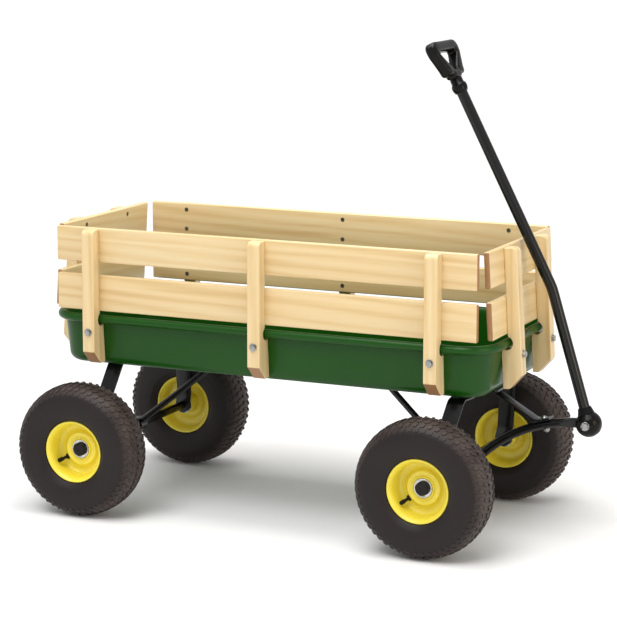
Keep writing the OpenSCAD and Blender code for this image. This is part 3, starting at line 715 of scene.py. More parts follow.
@dataclass
class Workshop:
    """Turns shapes into finished pieces that ride on the CAD bodies."""

    paint: Paintbox
    made: list[str] = field(default_factory=list)

    def piece(self, name: str, shape: Shape, material: bpy.types.Material, body: str,
              stands_for: tuple[str, ...] = (), crease: float = 32.0, bevel: float = 0.0,
              bevel_steps: int = 2) -> bpy.types.Object:
        """Make one piece from a shape in millimetres.

        Args:
            name: The piece's name.
            shape: Its surface.
            material: Its finish.
            body: The CAD body that it rides on.
            stands_for: The CAD nodes that it replaces.
            crease: Edges sharper than this many degrees stay sharp.
            bevel: The width of the bevel on its sharp edges, or 0.
            bevel_steps: The bevel's segments.

        Returns:
            The new object.
        """
        mesh = bpy.data.meshes.new(name)
        mesh.from_pydata((shape.points * MM).tolist(), [], shape.faces)
        work = bmesh.new()
        work.from_mesh(mesh)
        bmesh.ops.remove_doubles(work, verts=work.verts, dist=0.01 * MM)
        bmesh.ops.recalc_face_normals(work, faces=work.faces)
        work.to_mesh(mesh)
        work.free()
        mesh.polygons.foreach_set("use_smooth", [True] * len(mesh.polygons))
        mesh.set_sharp_from_angle(angle=math.radians(crease))
        mesh.materials.append(material)
        obj = bpy.data.objects.new(name, mesh)
        bpy.context.scene.collection.objects.link(obj)
        if bevel > 0:
            made = obj.modifiers.new("eased edges", "BEVEL")
            made.width, made.segments = bevel * MM, bevel_steps
            made.limit_method, made.angle_limit = "ANGLE", math.radians(40)
            made.harden_normals = True
        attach(obj, body)
        if stands_for:
            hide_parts(*stands_for)
        self.made.append(name)
        LOG.info("made %s on %s", name, body)
        return obj

    def dress(self, node: str, material: bpy.types.Material) -> None:
        """Give a CAD node that stays in view a new material.

        Args:
            node: The CAD node.
            material: Its new finish.
        """
        obj = bpy.data.objects[node]
        obj.data.materials.clear()
        obj.data.materials.append(material)
        LOG.info("dressed %s", node)


def box_mm(node: str) -> tuple[np.ndarray, np.ndarray]:
    """The lowest and highest corner of a CAD node, in millimetres."""
    low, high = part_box(node)
    return np.array(low) / MM, np.array(high) / MM


def middle(node: str) -> np.ndarray:
    """The middle of a CAD node's box, in millimetres."""
    low, high = box_mm(node)
    return (low + high) / 2


# ---------------------------------------------------------------- hardware


@dataclass(frozen=True)
class Hardware:
    """Shapes of bolts, nuts, washers and screws, standing on z = 0."""

    steps: int = 48

    def hex_head(self, flats: float, height: float, both: bool = False) -> Shape:
        """A hexagon head with its corners turned off.

        At angle a the hexagon's radius is R = (flats / 2) / cos(b), where b
        is a measured from the nearest flat's middle; the chamfer lowers the
        top there by (R - flats / 2) tan 30.

        Args:
            flats: The size across flats.
            height: The head's height.
            both: Whether the underside is turned off too, as on a nut.

        Returns:
            The closed head.
        """
        a = np.linspace(0, 2 * np.pi, self.steps, endpoint=False)
        half = flats / 2
        b = (a + np.pi / 6) % (np.pi / 3) - np.pi / 6
        r = half / np.cos(b)
        drop = (r - half) * math.tan(math.radians(30))
        foot = drop if both else 0 * drop
        rings = [(0 * r, 0 * r), (r if not both else 0 * r + half * 0.96, 0 * r), (r, foot),
                 (r, height - drop), (0 * r + half * 0.96, 0 * r + height), (0 * r, 0 * r + height)]
        points = np.stack([np.stack([q * np.cos(a), q * np.sin(a), z], 1) for q, z in rings], 1)
        return grid(points, wrap_u=True)

    def shank(self, r: float, low: float, high: float, steps: int = 20) -> Shape:
        """A round shank from low to high with a small chamfer at both ends.

        Args:
            r: Its radius.
            low: Height of its lower end.
            high: Height of its upper end.
            steps: The steps round it.

        Returns:
            The closed shank.
        """
        c = 0.15 * r
        return lathe(np.array([[0, low], [r - c, low], [r, low + c], [r, high - c], [r - c, high],
                               [0, high]]), steps)

    def washer(self, r: float, inner: float, t: float) -> Shape:
        """A flat washer with slightly rounded edges.

        Args:
            r: Its outer radius.
            inner: Its hole's radius.
            t: Its thickness.

        Returns:
            The closed ring.
        """
        e = 0.2 * t
        return lathe(np.array([[inner, 0], [r - e, 0], [r, e], [r, t - e], [r - e, t], [inner, t]]),
                     self.steps, closed=True)

    def dome(self, r: float, h: float) -> Shape:
        """A round head: the cap of a sphere of foot radius r and height h.

        Args:
            r: The foot's radius.
            h: The head's height.

        Returns:
            The closed head.
        """
        big = (r * r + h * h) / (2 * h)
        q = np.linspace(math.asin(r / big), 0, 8)
        line = np.stack([big * np.sin(q), h - big * (1 - np.cos(q))], 1)
        return lathe(np.vstack([[[0, 0]], line]), 32)

    def screw_face(self, r: float) -> Shape:
        """A countersunk screw's face with a cross recess.

        A point at (x, y) within the cross, where the smaller of |x| and |y|
        is under 0.16 r + 0.1 mm and the larger under 0.65 r, is sunk by
        0.3 mm; the whole face falls by 0.1 (q / r)^8 towards its edge.

        Args:
            r: The head's radius.

        Returns:
            The closed head, its face at z = 0.
        """
        a = np.linspace(0, 2 * np.pi, 32, endpoint=False)[:, None]
        q = np.array([0, 0.16, 0.22, 0.4, 0.62, 0.68, 0.97, 1.0])[None, :] * r
        x, y = q * np.cos(a), q * np.sin(a)
        least, most = np.minimum(np.abs(x), np.abs(y)), np.maximum(np.abs(x), np.abs(y))
        inside = (least < 0.16 * r + 0.1) & (most < 0.65 * r)
        z = np.where(inside, -0.3, 0.0) - 0.1 * (q / r) ** 8
        top = np.stack([x, y, z], -1)
        foot = np.stack([0.55 * r * np.cos(a), 0.55 * r * np.sin(a), 0 * a - 1.6], -1)
        tip = foot * np.array([0, 0, 1.0])
        return grid(np.concatenate([top, foot, tip], 1), wrap_u=True)


# -------------------------------------------------------------------- tray


@dataclass(frozen=True)
class Tray:
    """The pressed steel tray with its rolled rim."""

    length: float = 864.0
    width: float = 365.0
    corner: float = 52.0
    foot: float = 17.0
    slope: float = 5.0
    sheet: float = 1.2
    bead: float = 8.0
    wall_height: float = 90.0

    def outline(self) -> tuple[np.ndarray, np.ndarray]:
        """Corner centres and outward directions round the tray, corner by corner.

        Returns:
            The corner centres and the directions, one row for each step.
        """
        a = np.concatenate([np.linspace(k * 90, k * 90 + 90, 17) for k in range(4)])
        signs = np.repeat(np.array([[1, 1], [-1, 1], [-1, -1], [1, -1]]), 17, 0)
        centres = signs * np.array([self.length / 2 - self.corner, self.width / 2 - self.corner])
        t = np.radians(a)
        return centres, np.stack([np.cos(t), np.sin(t)], 1)

    def profile(self, low: float) -> np.ndarray:
        """Section of the wall as (outward distance, height): inner face, bead, outer face.

        Args:
            low: Height of the floor's underside.

        Returns:
            The section's points.
        """
        rim, floor = low + self.wall_height, low + self.sheet
        s = math.radians(self.slope)
        foot_z = floor + self.foot
        foot_d = self.corner - (rim - foot_z) * math.tan(s) - self.foot / math.cos(s)
        bead_d = self.corner + self.bead
        rise = np.linspace(0, 1, 6)[:, None]
        start = arc(foot_d, foot_z, self.foot, -90, -self.slope, 10)
        wall = start[-1] * (1 - rise) + np.array([self.corner - 0.3, rim - 3]) * rise
        curl = arc(bead_d, rim, self.bead, 160, -150, 26)
        back = np.array([[self.corner + 1.25, rim - 6.5]])
        outer = arc(foot_d, foot_z, self.foot + self.sheet, -self.slope, -90, 10)
        down = back * (1 - rise) + outer[0] * rise
        return np.vstack([[[8, floor]], start, wall[1:], curl, down, outer[1:], [[8, low]]])

    def build(self, shop: Workshop) -> None:
        """Sweep the section round the outline and close the floor.

        The point for outline step i and section point (d, z) is the corner's
        centre plus d times the outward direction, at height z.

        Args:
            shop: Where the piece is made.
        """
        low, high = box_mm("tray")
        centres, out = self.outline()
        line = self.profile(low[2])
        flat = centres[:, None, :] + out[:, None, :] * line[None, :, 0:1]
        z = np.broadcast_to(line[None, :, 1:2], flat.shape[:2] + (1,))
        points = np.concatenate([flat, z], -1)
        shape = grid(points, wrap_u=True)
        n, m = points.shape[:2]
        shape.faces.append([i * m for i in range(n)])
        shape.faces.append([i * m + m - 1 for i in range(n)][::-1])
        mid = (low + high) / 2
        shop.piece("tray_shell", shape.moved(mid[0], mid[1]), shop.paint.green, "chassis",
                   ("tray",), crease=50)


# ------------------------------------------------------------- stake sides


@dataclass(frozen=True)
class StakeSides:
    """The wooden slats and stakes with their screws and bolts."""

    stake_width: float = 25.0
    ease: float = 1.6
    slat_ease: float = 2.6
    notch: float = 12.0
    top_round: float = 10.0
    cut: float = 25.0
    step: float = 13.1
    depth: float = 24.0
    lean: float = 3.6
    side_wall: float = 181.82
    end_wall: float = 431.32
    bolt_z: float = 350.5
    rim_z: float = 372.0
    top_z: float = 543.0
    foot_z: float = 288.0
    wall_slope: float = 5.0
    side_bead: float = 190.5
    end_bead: float = 440.0
    slat_t: float = 11.0
    slat_rows: tuple[tuple[str, float, float], ...] = (("upper", 480.0, 65.0), ("lower", 388.0, 68.0))
    screw_rows: tuple[float, ...] = (401.0, 443.0, 493.0, 532.0)
    side_places: tuple[float, ...] = (-343.0, 0.0, 343.0)
    end_places: tuple[float, ...] = (-81.0, 81.0)
    hardware: Hardware = field(default_factory=Hardware)

    def stake_outline(self, wall: float, bead: tuple[float, float], up: float, down: float) -> np.ndarray:
        """A stake's outline as (outward distance, height).

        It runs down the face that holds the slats, round the notch for the
        tray's bead, down the low face, along the foot and up the outside.

        Args:
            wall: Distance of the tray's wall at the bolt.
            bead: The bead's centre as (outward distance, height).
            up: Lean of the low face above the bolt, in degrees.
            down: Lean of the low face below the bolt, in degrees.

        Returns:
            The outline's points.
        """
        low, face = wall + 0.1, wall + self.step
        out = face + self.depth
        cx, cz = bead
        top = math.degrees(math.acos((face - cx) / self.notch))
        slant = math.tan(math.radians(up))
        q = np.radians(np.linspace(-80, -178, 393))
        face_x = low + (cz + self.notch * np.sin(q) - self.bolt_z) * slant
        gap = np.abs(cx + self.notch * np.cos(q) - face_x)
        bottom = math.degrees(q[int(np.argmin(gap))])
        foot = low - (self.bolt_z - self.foot_z) * math.tan(math.radians(down))
        return np.vstack([
            [[face, self.top_z]], arc(cx, cz, self.notch, top, bottom, 14), [[low, self.bolt_z]],
            [[foot, self.foot_z], [out - self.cut, self.foot_z], [out, self.foot_z + self.cut]],
            arc(out - self.top_round, self.top_z - self.top_round, self.top_round, 0, 90, 6),
        ])

    def leaning(self, shape: Shape) -> Shape:
        """A shape drawn on an upright end frame, leant in about the bolts."""
        back = shape.moved(-self.end_wall, 0, -self.bolt_z).turned(Axis.Y, -self.lean)
        return back.moved(self.end_wall, 0, self.bolt_z)

    def placed(self, shape: Shape, where: str, mid_x: float) -> Shape:
        """A shape drawn facing +X, put on the named side of the tray.

        Args:
            shape: The shape, drawn facing +X.
            where: Which side: near, far, front or rear.
            mid_x: The tray's middle along X.

        Returns:
            The shape in its place.
        """
        if where in ("front", "rear"):
            shape = self.leaning(shape)
        turn = {"front": 0, "far": 90, "rear": 180, "near": -90}[where]
        return shape.turned(Axis.Z, turn).moved(mid_x)

    def stakes(self, shop: Workshop, mid_x: float) -> None:
        """Make the ten stakes.

        Args:
            shop: Where the pieces are made.
            mid_x: The tray's middle along X.
        """
        slope = self.wall_slope
        side = self.stake_outline(self.side_wall, (self.side_bead, self.rim_z), slope, slope)
        c, s = math.cos(math.radians(self.lean)), math.sin(math.radians(self.lean))
        dx, dz = self.end_bead - self.end_wall, self.rim_z - self.bolt_z
        local = (self.end_wall + dx * c + dz * s, self.bolt_z - dx * s + dz * c)
        end = self.stake_outline(self.end_wall, local, slope + self.lean, 0)
        names = [(f"stake_{a}_{b}", a) for a in ("near", "far") for b in ("rear", "middle", "front")]
        names += [(f"stake_{a}_{b}", a) for a in ("front", "rear") for b in ("near", "far")]
        for number, (name, where) in enumerate(names):
            at = middle(name)
            if where in ("near", "far"):
                along = (at[0] - mid_x) * (1 if where == "near" else -1)
                shape = prism(side, self.stake_width).moved(0, along, 0)
            else:
                shape = prism(end, self.stake_width).moved(0, at[1] * (1 if where == "front" else -1), 0)
            shop.piece(name + "_wood", self.placed(shape, where, mid_x), shop.paint.wood(Axis.Z, number),
                       "chassis", (name,), bevel=self.ease, bevel_steps=3)

    def slats(self, shop: Workshop, mid_x: float) -> None:
        """Make the eight slats.

        Args:
            shop: Where the pieces are made.
            mid_x: The tray's middle along X.
        """
        number = 10
        for where in ("near", "far", "front", "rear"):
            for row, foot, height in self.slat_rows:
                name = f"slat_{where}_{row}"
                low, high = box_mm(name)
                end = where in ("front", "rear")
                length = high[1] - low[1] if end else high[0] - low[0]
                wall = self.end_wall if end else self.side_wall
                shape = board(length, self.slat_t, height, self.slat_ease).turned(Axis.Z, 90)
                shape = shape.moved(wall + self.step - 5.6, 0, foot + height / 2)
                grain = Axis.Y if end else Axis.X
                shop.piece(name + "_wood", self.placed(shape, where, mid_x), shop.paint.wood(grain, number),
                           "chassis", (name,), crease=40)
                number += 1

    def fixings(self, shop: Workshop, mid_x: float) -> None:
        """Make the slats' screws and the stakes' bolts.

        Args:
            shop: Where the pieces are made.
            mid_x: The tray's middle along X.
        """
        screws, bolts = [], []
        for where in ("near", "far", "front", "rear"):
            end = where in ("front", "rear")
            wall = self.end_wall if end else self.side_wall
            for v in self.end_places if end else self.side_places:
                for z in self.screw_rows:
                    head = self.hardware.screw_face(4.2).turned(Axis.Y, -90)
                    head = head.moved(wall + self.step - 11.45, v, z)
                    screws.append(self.placed(head, where, mid_x))
                bolt = together([
                    self.hardware.washer(7.5, 2.9, 1.2),
                    self.hardware.hex_head(10.0, 4.2).moved(0, 0, 1.2),
                    self.hardware.shank(2.9, -48.0, 1.0),
                ]).turned(Axis.Y, 90).moved(wall + self.step + self.depth + 0.1, v, self.bolt_z)
                bolts.append(self.placed(bolt, where, mid_x))
        shop.piece("slat_screw_heads", together(screws), shop.paint.screw, "chassis",
                   ("slat_screws",))
        shop.piece("stake_bolt_heads", together(bolts), shop.paint.zinc, "chassis",
                   ("stake_bolts",))

    def build(self, shop: Workshop) -> None:
        """Make all the woodwork.

        Args:
            shop: Where the pieces are made.
        """
        mid_x = float(middle("tray")[0])
        self.stakes(shop, mid_x)
        self.slats(shop, mid_x)
        self.fixings(shop, mid_x)
        shop.dress("stake_nuts", shop.paint.zinc)


# ------------------------------------------------------------------ wheels


@dataclass(frozen=True)
class Tyre:
    """A low-pressure tyre with a block tread."""

    radius: float = 127.0
    width: float = 87.5
    depth: float = 39.0
    wall: float = 6.0
    power: float = 0.77
    tread: float = 2.6
    pitch: int = 54
    rim_r: float = 59.0
    lip: float = 32.45

    def crown(self, t: np.ndarray, lift: np.ndarray | float = 0.0) -> tuple[np.ndarray, np.ndarray]:
        """The carcass at angle t round its section, as (radius, height).

        The section is |h / a|^p + |(r - m) / b|^p = 1 with p near 2.6, which
        in angles is h = a cos^0.77 t and r = m + b sin^0.77 t.

        Args:
            t: Angles in degrees; 90 is the middle of the tread.
            lift: How far outside the carcass, in millimetres.

        Returns:
            The radius and the height along the axle.
        """
        c, s = np.cos(np.radians(t)), np.sin(np.radians(t))
        drop = self.tread * np.clip((s - 0.45) / 0.2, 0, 1)
        a, b = self.width / 2 - 0.35 * drop + 0.35 * lift, self.depth - drop + lift
        h = a * np.sign(c) * np.abs(c) ** self.power
        r = self.radius - self.depth + b * np.sign(s) * np.abs(s) ** self.power
        return r, h

    def carcass(self) -> Shape:
        """The tyre without its tread blocks, with a raised ring low on each wall.

        Returns:
            The closed carcass, round Z.
        """
        t = np.arange(-34, 216, 4.0)
        r, h = self.crown(t)
        ring = np.exp(-(((r - 71.0) / 1.6) ** 2)) * 1.1 + np.exp(-(((r - 99.0) / 1.2) ** 2)) * 0.5
        h = h + np.sign(h) * ring * (np.abs(h) > 20)
        outer = np.stack([r, h], 1)
        bead = np.array([[self.rim_r + 0.9, self.lip + 2.6], [self.rim_r + 0.4, self.lip - 2.0],
                         [56.0, self.lip - 2.3], [52.6, self.lip - 8.5], [52.5, self.lip - 13.5]])
        t2 = np.arange(225, -46, -15.0)
        c, s = np.cos(np.radians(t2)), np.sin(np.radians(t2))
        inner = np.stack([
            88.0 + (self.depth - self.wall) * np.sign(s) * np.abs(s) ** self.power,
            (self.width / 2 - self.wall) * np.sign(c) * np.abs(c) ** self.power], 1)
        near = bead * np.array([1, -1])
        return lathe(np.vstack([outer, near, inner, bead[::-1]]), 108, closed=True)

    def blocks(self, outline: np.ndarray, count: int, phase: float, height: float) -> Shape:
        """A row of tread blocks round the tyre.

        Each block's foot follows outline, given as (section angle, turn
        within one pitch); its top is the same outline drawn in by a tenth
        and lifted by height, with one point in the middle.

        Args:
            outline: Points (t, share of a pitch), in order.
            count: How many blocks make the turn.
            phase: Where the first one starts, as a share of a pitch.
            height: The block's height.

        Returns:
            All the blocks of the row.
        """
        mid = outline.mean(0)
        top = mid + (outline - mid) * np.array([0.90, 0.86])
        k = len(outline)
        t = np.concatenate([outline[:, 0], top[:, 0], mid[:1]])
        u = np.concatenate([outline[:, 1], top[:, 1], mid[1:]])
        lift = np.concatenate([np.full(k, -0.6), np.full(k, height), [height]])
        r, h = self.crown(t, lift)
        a = (np.arange(count)[:, None] + phase + u[None, :]) * 2 * np.pi / count
        points = np.stack([r * np.cos(a), r * np.sin(a), h + 0 * a], -1)
        i = np.arange(k)
        j = (i + 1) % k
        sides = np.stack([i, j, k + j, k + i], 1)
        caps = np.stack([k + i, k + j, 0 * i + 2 * k], 1)
        start = np.arange(count)[:, None, None] * (2 * k + 1)
        faces = (sides[None] + start).reshape(-1, 4).tolist() + (caps[None] + start).reshape(-1, 3).tolist()
        return Shape(points.reshape(-1, 3), faces)

    def shape(self) -> Shape:
        """The whole tyre: carcass, centre zigzag, chevrons and shoulder lugs.

        Returns:
            The tyre, round Z.
        """
        h = self.tread - 0.2
        rows = [self.carcass()]
        centre = np.array([
            [97, 0.04], [92, 0.30], [97, 0.56], [86, 0.86], [83, 0.60], [88, 0.34], [83, 0.08]])
        rows.append(self.blocks(centre, self.pitch, 0.0, h))
        for sign in (-1, 1):
            mid = np.array([
                [11, 0.05], [21, 0.22], [27, 0.48], [27, 0.80], [19, 0.60], [11, 0.40]])
            outer = np.array([
                [30.5, 0.05], [40.5, 0.16], [45.5, 0.30], [45.5, 0.66], [38.5, 0.62], [30.5, 0.44]])
            lugs = np.array([[50, 0.10], [64, 0.16], [64, 0.62], [50, 0.58]])
            for outline, phase in ((mid, 0.15), (outer, 0.55), (lugs, 0.1)):
                line = outline.copy()
                line[:, 0] = 90 + sign * line[:, 0]
                rows.append(self.blocks(line, self.pitch, phase + (0.25 if sign > 0 else 0), h))
        return together(rows)


@dataclass(frozen=True)
class Wheel:
    """One wheel: tyre, yellow rim, bearings and valve."""

    name: str
    body: str
    side: Side
    valve_angle: float
    # Inner and outer radius of the tread band that gets the painted sheen.
    tread_sheen: tuple[float, float] = (108.0, 121.0)
    tyre: Tyre = field(default_factory=Tyre)

    def laid(self, shape: Shape) -> Shape:
        """A shape drawn round Z, outer side up, laid on this wheel's axle."""
        at = middle("tyre_" + self.name)
        return shape.turned(Axis.X, -90 * self.side.value).moved(*at)

    def rim_shape(self) -> Shape:
        """The pressed rim: hub tube, dished disc with a soft ridge, barrel and lips.

        Returns:
            The closed rim, round Z, outer side up.
        """
        face = np.array([
            [18.1, -31.0], [18.1, 5.2], [18.6, 6.0], [20.4, 6.0], [21.0, 5.2], [21.4, 3.4], [22.6, 2.4],
            [25.5, 2.6], [28.2, 3.6], [29.8, 4.0], [31.4, 3.2], [33.0, 1.0], [34.6, -1.2], [37.0, -2.6],
            [42.0, -3.2], [46.0, -2.6], [48.6, -0.6], [49.8, 3.0], [50.0, 24.2], [51.6, 28.0], [53.6, 30.8],
            [55.2, 32.6], [56.6, 33.8], [58.0, 33.9], [58.9, 32.9], [58.8, 31.6], [57.8, 31.0], [56.6, 30.6],
            [54.8, 29.0], [52.4, 25.4], [52.0, 22.0]])
        back = np.array([
            [52.0, -22.0], [52.4, -25.4], [54.8, -29.0], [57.8, -31.0], [58.8, -31.6], [58.9, -32.9],
            [58.0, -33.9], [56.6, -33.8], [55.2, -32.6], [53.6, -30.8], [50.0, -24.2], [49.8, -9.0],
            [48.0, -6.2], [42.0, -5.8], [36.0, -5.4], [33.0, -3.4], [30.0, 0.6], [24.0, 0.2], [20.6, -1.0],
            [20.2, -30.4], [19.6, -31.0]])
        return lathe(np.vstack([face, back]), 96, closed=True)

    def bearing_shape(self) -> Shape:
        """Both bearings: outer race, sunk shield and inner race.

        Returns:
            Both closed rings, round Z.
        """
        one = np.array([
            [8.06, 0.2], [8.06, 10.8], [8.4, 11.0], [11.2, 11.0], [11.5, 10.6], [11.6, 10.1], [15.0, 10.1],
            [15.1, 10.7], [15.4, 11.0], [17.2, 11.0], [17.5, 10.7], [17.5, 0.3], [17.2, 0.0], [8.4, 0.0]])
        outer = lathe(one, 64, closed=True).moved(0, 0, -5.0)
        return together([outer, lathe(one * [1, -1], 64, closed=True).moved(0, 0, -20.0)])

    def valve_shape(self) -> Shape:
        """The snap-in valve: a flared foot, a waisted stem and a ribbed cap.

        Returns:
            The closed valve, at its place on the rim.
        """
        line = np.array([
            [0, 0.5], [5.4, 0.8], [5.6, 1.8], [4.4, 3.0], [3.3, 4.6], [2.9, 8.0], [2.9, 14.4], [3.7, 15.0],
            [3.8, 16.0], [3.8, 25.0], [3.4, 26.0], [0, 26.0]])
        shape = lathe(line, 48)
        turn = np.arctan2(shape.points[:, 1], shape.points[:, 0])
        ribs = 1 + 0.05 * np.cos(12 * turn) * (shape.points[:, 2] > 15.2)
        shape.points[:, :2] *= ribs[:, None]
        lean = shape.turned(Axis.Y, 19).moved(36, 0, -2.4)
        return lean.turned(Axis.Z, self.valve_angle)

    def mark_tread_sheen(self, tyre: bpy.types.Object) -> None:
        """Store how far each point is into the tread, as its share of the painted sheen.

        The value rises from 0 at the inner to 1 at the outer radius of the painted sheen.

        Args:
            tyre: The finished tyre.
        """
        points = np.empty(len(tyre.data.vertices) * 3)
        tyre.data.vertices.foreach_get("co", points)
        away = points.reshape(-1, 3) / MM - middle("tyre_" + self.name)
        radius = np.hypot(away[:, 0], away[:, 2])
        mark = tyre.data.attributes.new("tread", "FLOAT", "POINT")
        inner, outer = self.tread_sheen
        mark.data.foreach_set("value", np.clip((radius - inner) / (outer - inner), 0, 1))

    def build(self, shop: Workshop) -> None:
        """Make the wheel's four pieces.

        Args:
            shop: Where the pieces are made.
        """
        n = self.name
        tyre = shop.piece(f"tyre_{n}_tread", self.laid(self.tyre.shape()), shop.paint.rubber, self.body,
                          (f"tyre_{n}",), crease=38)
        self.mark_tread_sheen(tyre)
        shop.piece(f"rim_{n}_disc", self.laid(self.rim_shape()), shop.paint.yellow, self.body,
                   (f"rim_{n}",), crease=60)
        shop.piece(f"bearings_{n}_races", self.laid(self.bearing_shape()), shop.paint.steel, self.body,
                   (f"bearings_{n}",), crease=40)
        shop.piece(f"valve_{n}_stem", self.laid(self.valve_shape()), shop.paint.valve, self.body,
                   (f"valve_{n}",), crease=40)


# ----------------------------------------------------------- running gear


@dataclass(frozen=True)
class Bracket:
    """A bent flat bar: two legs joined by a cross plate."""

    width: float = 32.0
    thick: float = 4.0
    lug_y: float = 188.1
    lug_top: float = 150.0
    axle_z: float = AXLE_Z
    plate_y: float = 132.1
    tray_z: float = 282.0
    rake: float = 27.0
    bend: float = 12.0

    def half_line(self, top: float, plate_width: float) -> tuple[np.ndarray, np.ndarray]:
        """The bar's middle line on the far side, from the lug's foot to the middle.

        Args:
            top: Height of the cross plate's top.
            plate_width: Width of the cross plate.

        Returns:
            Points (y, z) along the line and the bar's width at each.
        """
        z1 = top - self.thick / 2
        lean = math.atan((self.lug_y - self.plate_y) / (self.tray_z - self.lug_top))
        corner_y = self.lug_y - (z1 - self.lug_top) * math.tan(lean)
        q = np.radians(np.linspace(0, 90, 9))
        foot = np.stack([0 * q + self.lug_y, self.axle_z - self.width / 2 * np.cos(q)], 1)
        foot_w = self.width * np.sin(q) + 0.4
        a = math.degrees(lean)
        tan = self.bend * math.tan(math.radians(90 - a) / 2)
        start = np.array([corner_y + tan * math.sin(lean), z1 - tan * math.cos(lean)])
        centre = start - self.bend * np.array([math.cos(lean), math.sin(lean)])
        turn = arc(centre[0], centre[1], self.bend, a, 90, 6)
        straight = np.array([[self.lug_y, self.lug_top - 4], [self.lug_y - 0.6, self.lug_top + 4]])
        line = np.vstack([foot, straight, turn, [[corner_y - tan - 22, z1], [0, z1]]])
        widths = np.concatenate([foot_w, [self.width] * 9, [plate_width, plate_width]])
        return line, widths

    def shape(self, axle_x: float, top: float, plate_width: float) -> Shape:
        """The whole bar, both sides.

        At height z the bar's middle is ahead of the axle by the rake times
        (z - axle) / (tray - axle), and its section is its width along X by
        its thickness square to the line.

        Args:
            axle_x: The axle's place.
            top: Height of the cross plate's top.
            plate_width: Width of the cross plate.

        Returns:
            The closed bar.
        """
        line, widths = self.half_line(top, plate_width)
        line = np.vstack([line, (line[::-1] * [-1, 1])[1:]])
        widths = np.concatenate([widths, widths[::-1][1:]])
        step = np.gradient(line, axis=0)
        step /= np.linalg.norm(step, axis=1)[:, None]
        x = axle_x + self.rake * np.clip((line[:, 1] - self.axle_z) / (top - self.axle_z), 0, 1)
        path = np.stack([x, line[:, 0], line[:, 1]], 1)
        across = np.tile([1.0, 0, 0], (len(line), 1))
        up = np.stack([0 * x, -step[:, 1], step[:, 0]], 1)
        edge = 1.0
        base = rounded(2.0, self.thick, edge * 0.99, 3)
        sections = np.tile(base[None], (len(line), 1, 1))
        sections[:, :, 0] = np.sign(base[None, :, 0]) * (widths[:, None] / 2 - edge) + base[None, :, 0]
        return carried(sections, path, across, up)


def cap_shape() -> Shape:
    """A push-on axle cap with a rounded edge and a small dimple.

    Returns:
        The cap, round Z, its mouth at z = 0.
    """
    return lathe(np.array([
        [8.05, 0.0], [12.6, 0.0], [13.0, 0.5], [13.0, 4.0], [12.6, 5.4], [11.6, 6.4], [10.0, 6.8], [3.0, 6.8],
        [2.2, 6.5], [1.7, 5.7], [0, 5.5], [0, 4.2], [8.05, 4.2]]), 56, closed=False)


@dataclass(frozen=True)
class RunningGear:
    """Brackets, axles, braces and the turntable."""

    bracket: Bracket = field(default_factory=Bracket)
    hardware: Hardware = field(default_factory=Hardware)
    axle_r: float = 8.0
    axle_half: float = 233.4
    collar_y: float = 191.2
    cap_y: float = 229.9
    rear_plate: tuple[float, float] = (281.9, 44.0)
    front_plate: tuple[float, float] = (272.0, 40.0)
    turntable_ahead: float = 21.0

    def axle_shape(self, node: str) -> Shape:
        """An axle bar with chamfered ends and a collar beside each lug.

        Args:
            node: The axle's CAD node.

        Returns:
            The bar with its collars.
        """
        bar = self.hardware.shank(self.axle_r, -self.axle_half, self.axle_half, 40)
        ring = np.array([[7.9, -1.0], [11.6, -1.0], [12.0, -0.6], [12.0, 0.6], [11.6, 1.0], [7.9, 1.0]])
        collars = [lathe(ring, 40, closed=True).moved(0, 0, s * self.collar_y) for s in (-1, 1)]
        at = middle(node)
        return together([bar, *collars]).turned(Axis.X, 90).moved(at[0], 0, AXLE_Z)

    def caps(self, shop: Workshop, node: str, body: str) -> None:
        """The two axle caps of one axle.

        Args:
            shop: Where the pieces are made.
            node: The caps' CAD node.
            body: The CAD body that they ride on.
        """
        at = middle(node)
        shapes = [cap_shape().moved(0, 0, self.cap_y).turned(Axis.X, -90 * s).moved(at[0], 0, AXLE_Z)
                  for s in (-1, 1)]
        shop.piece(node + "_moulded", together(shapes), shop.paint.cap, body,
                   (node,), crease=40)

    def build(self, shop: Workshop) -> None:
        """Make the rear and front running gear.

        Args:
            shop: Where the pieces are made.
        """
        rear = float(middle("rear_axle")[0])
        front = float(middle("king_pin_bolts")[0])
        paint = shop.paint
        shop.piece("rear_bracket_bar", self.bracket.shape(rear, *self.rear_plate), paint.black, "chassis",
                   ("rear_bracket",), crease=30)
        turntable = prism(rounded(94.0, 76.0, 6.0), 4.0).turned(Axis.X, 90)
        turntable = turntable.moved(front + self.turntable_ahead, 0, self.front_plate[0] - 2.0)
        bar = self.bracket.shape(front, *self.front_plate)
        shop.piece("front_bracket_bar", together([bar, turntable]), paint.black, "front_carriage",
                   ("front_bracket",), crease=30)
        shop.piece("rear_axle_bar", self.axle_shape("rear_axle"), paint.black, "chassis",
                   ("rear_axle",))
        boss = lathe(np.array([[0, -15], [12.2, -15], [13, -14.2], [13, 14.2], [12.2, 15], [0, 15]]), 48)
        axle = together([self.axle_shape("front_axle"), boss.moved(front, 0, AXLE_Z)])
        shop.piece("front_axle_bar", axle, paint.black, "front_carriage", ("front_axle",))
        self.caps(shop, "rear_axle_caps", "chassis")
        self.caps(shop, "front_axle_caps", "front_carriage")
        for node in ("rear_brace", "front_brace", "bolster_plate", "pivot_washers"):
            shop.dress(node, paint.black)
        for node in ("frame_bolts", "king_pin_bolts"):
            shop.dress(node, paint.zinc)


# ------------------------------------------------------- tongue and handle


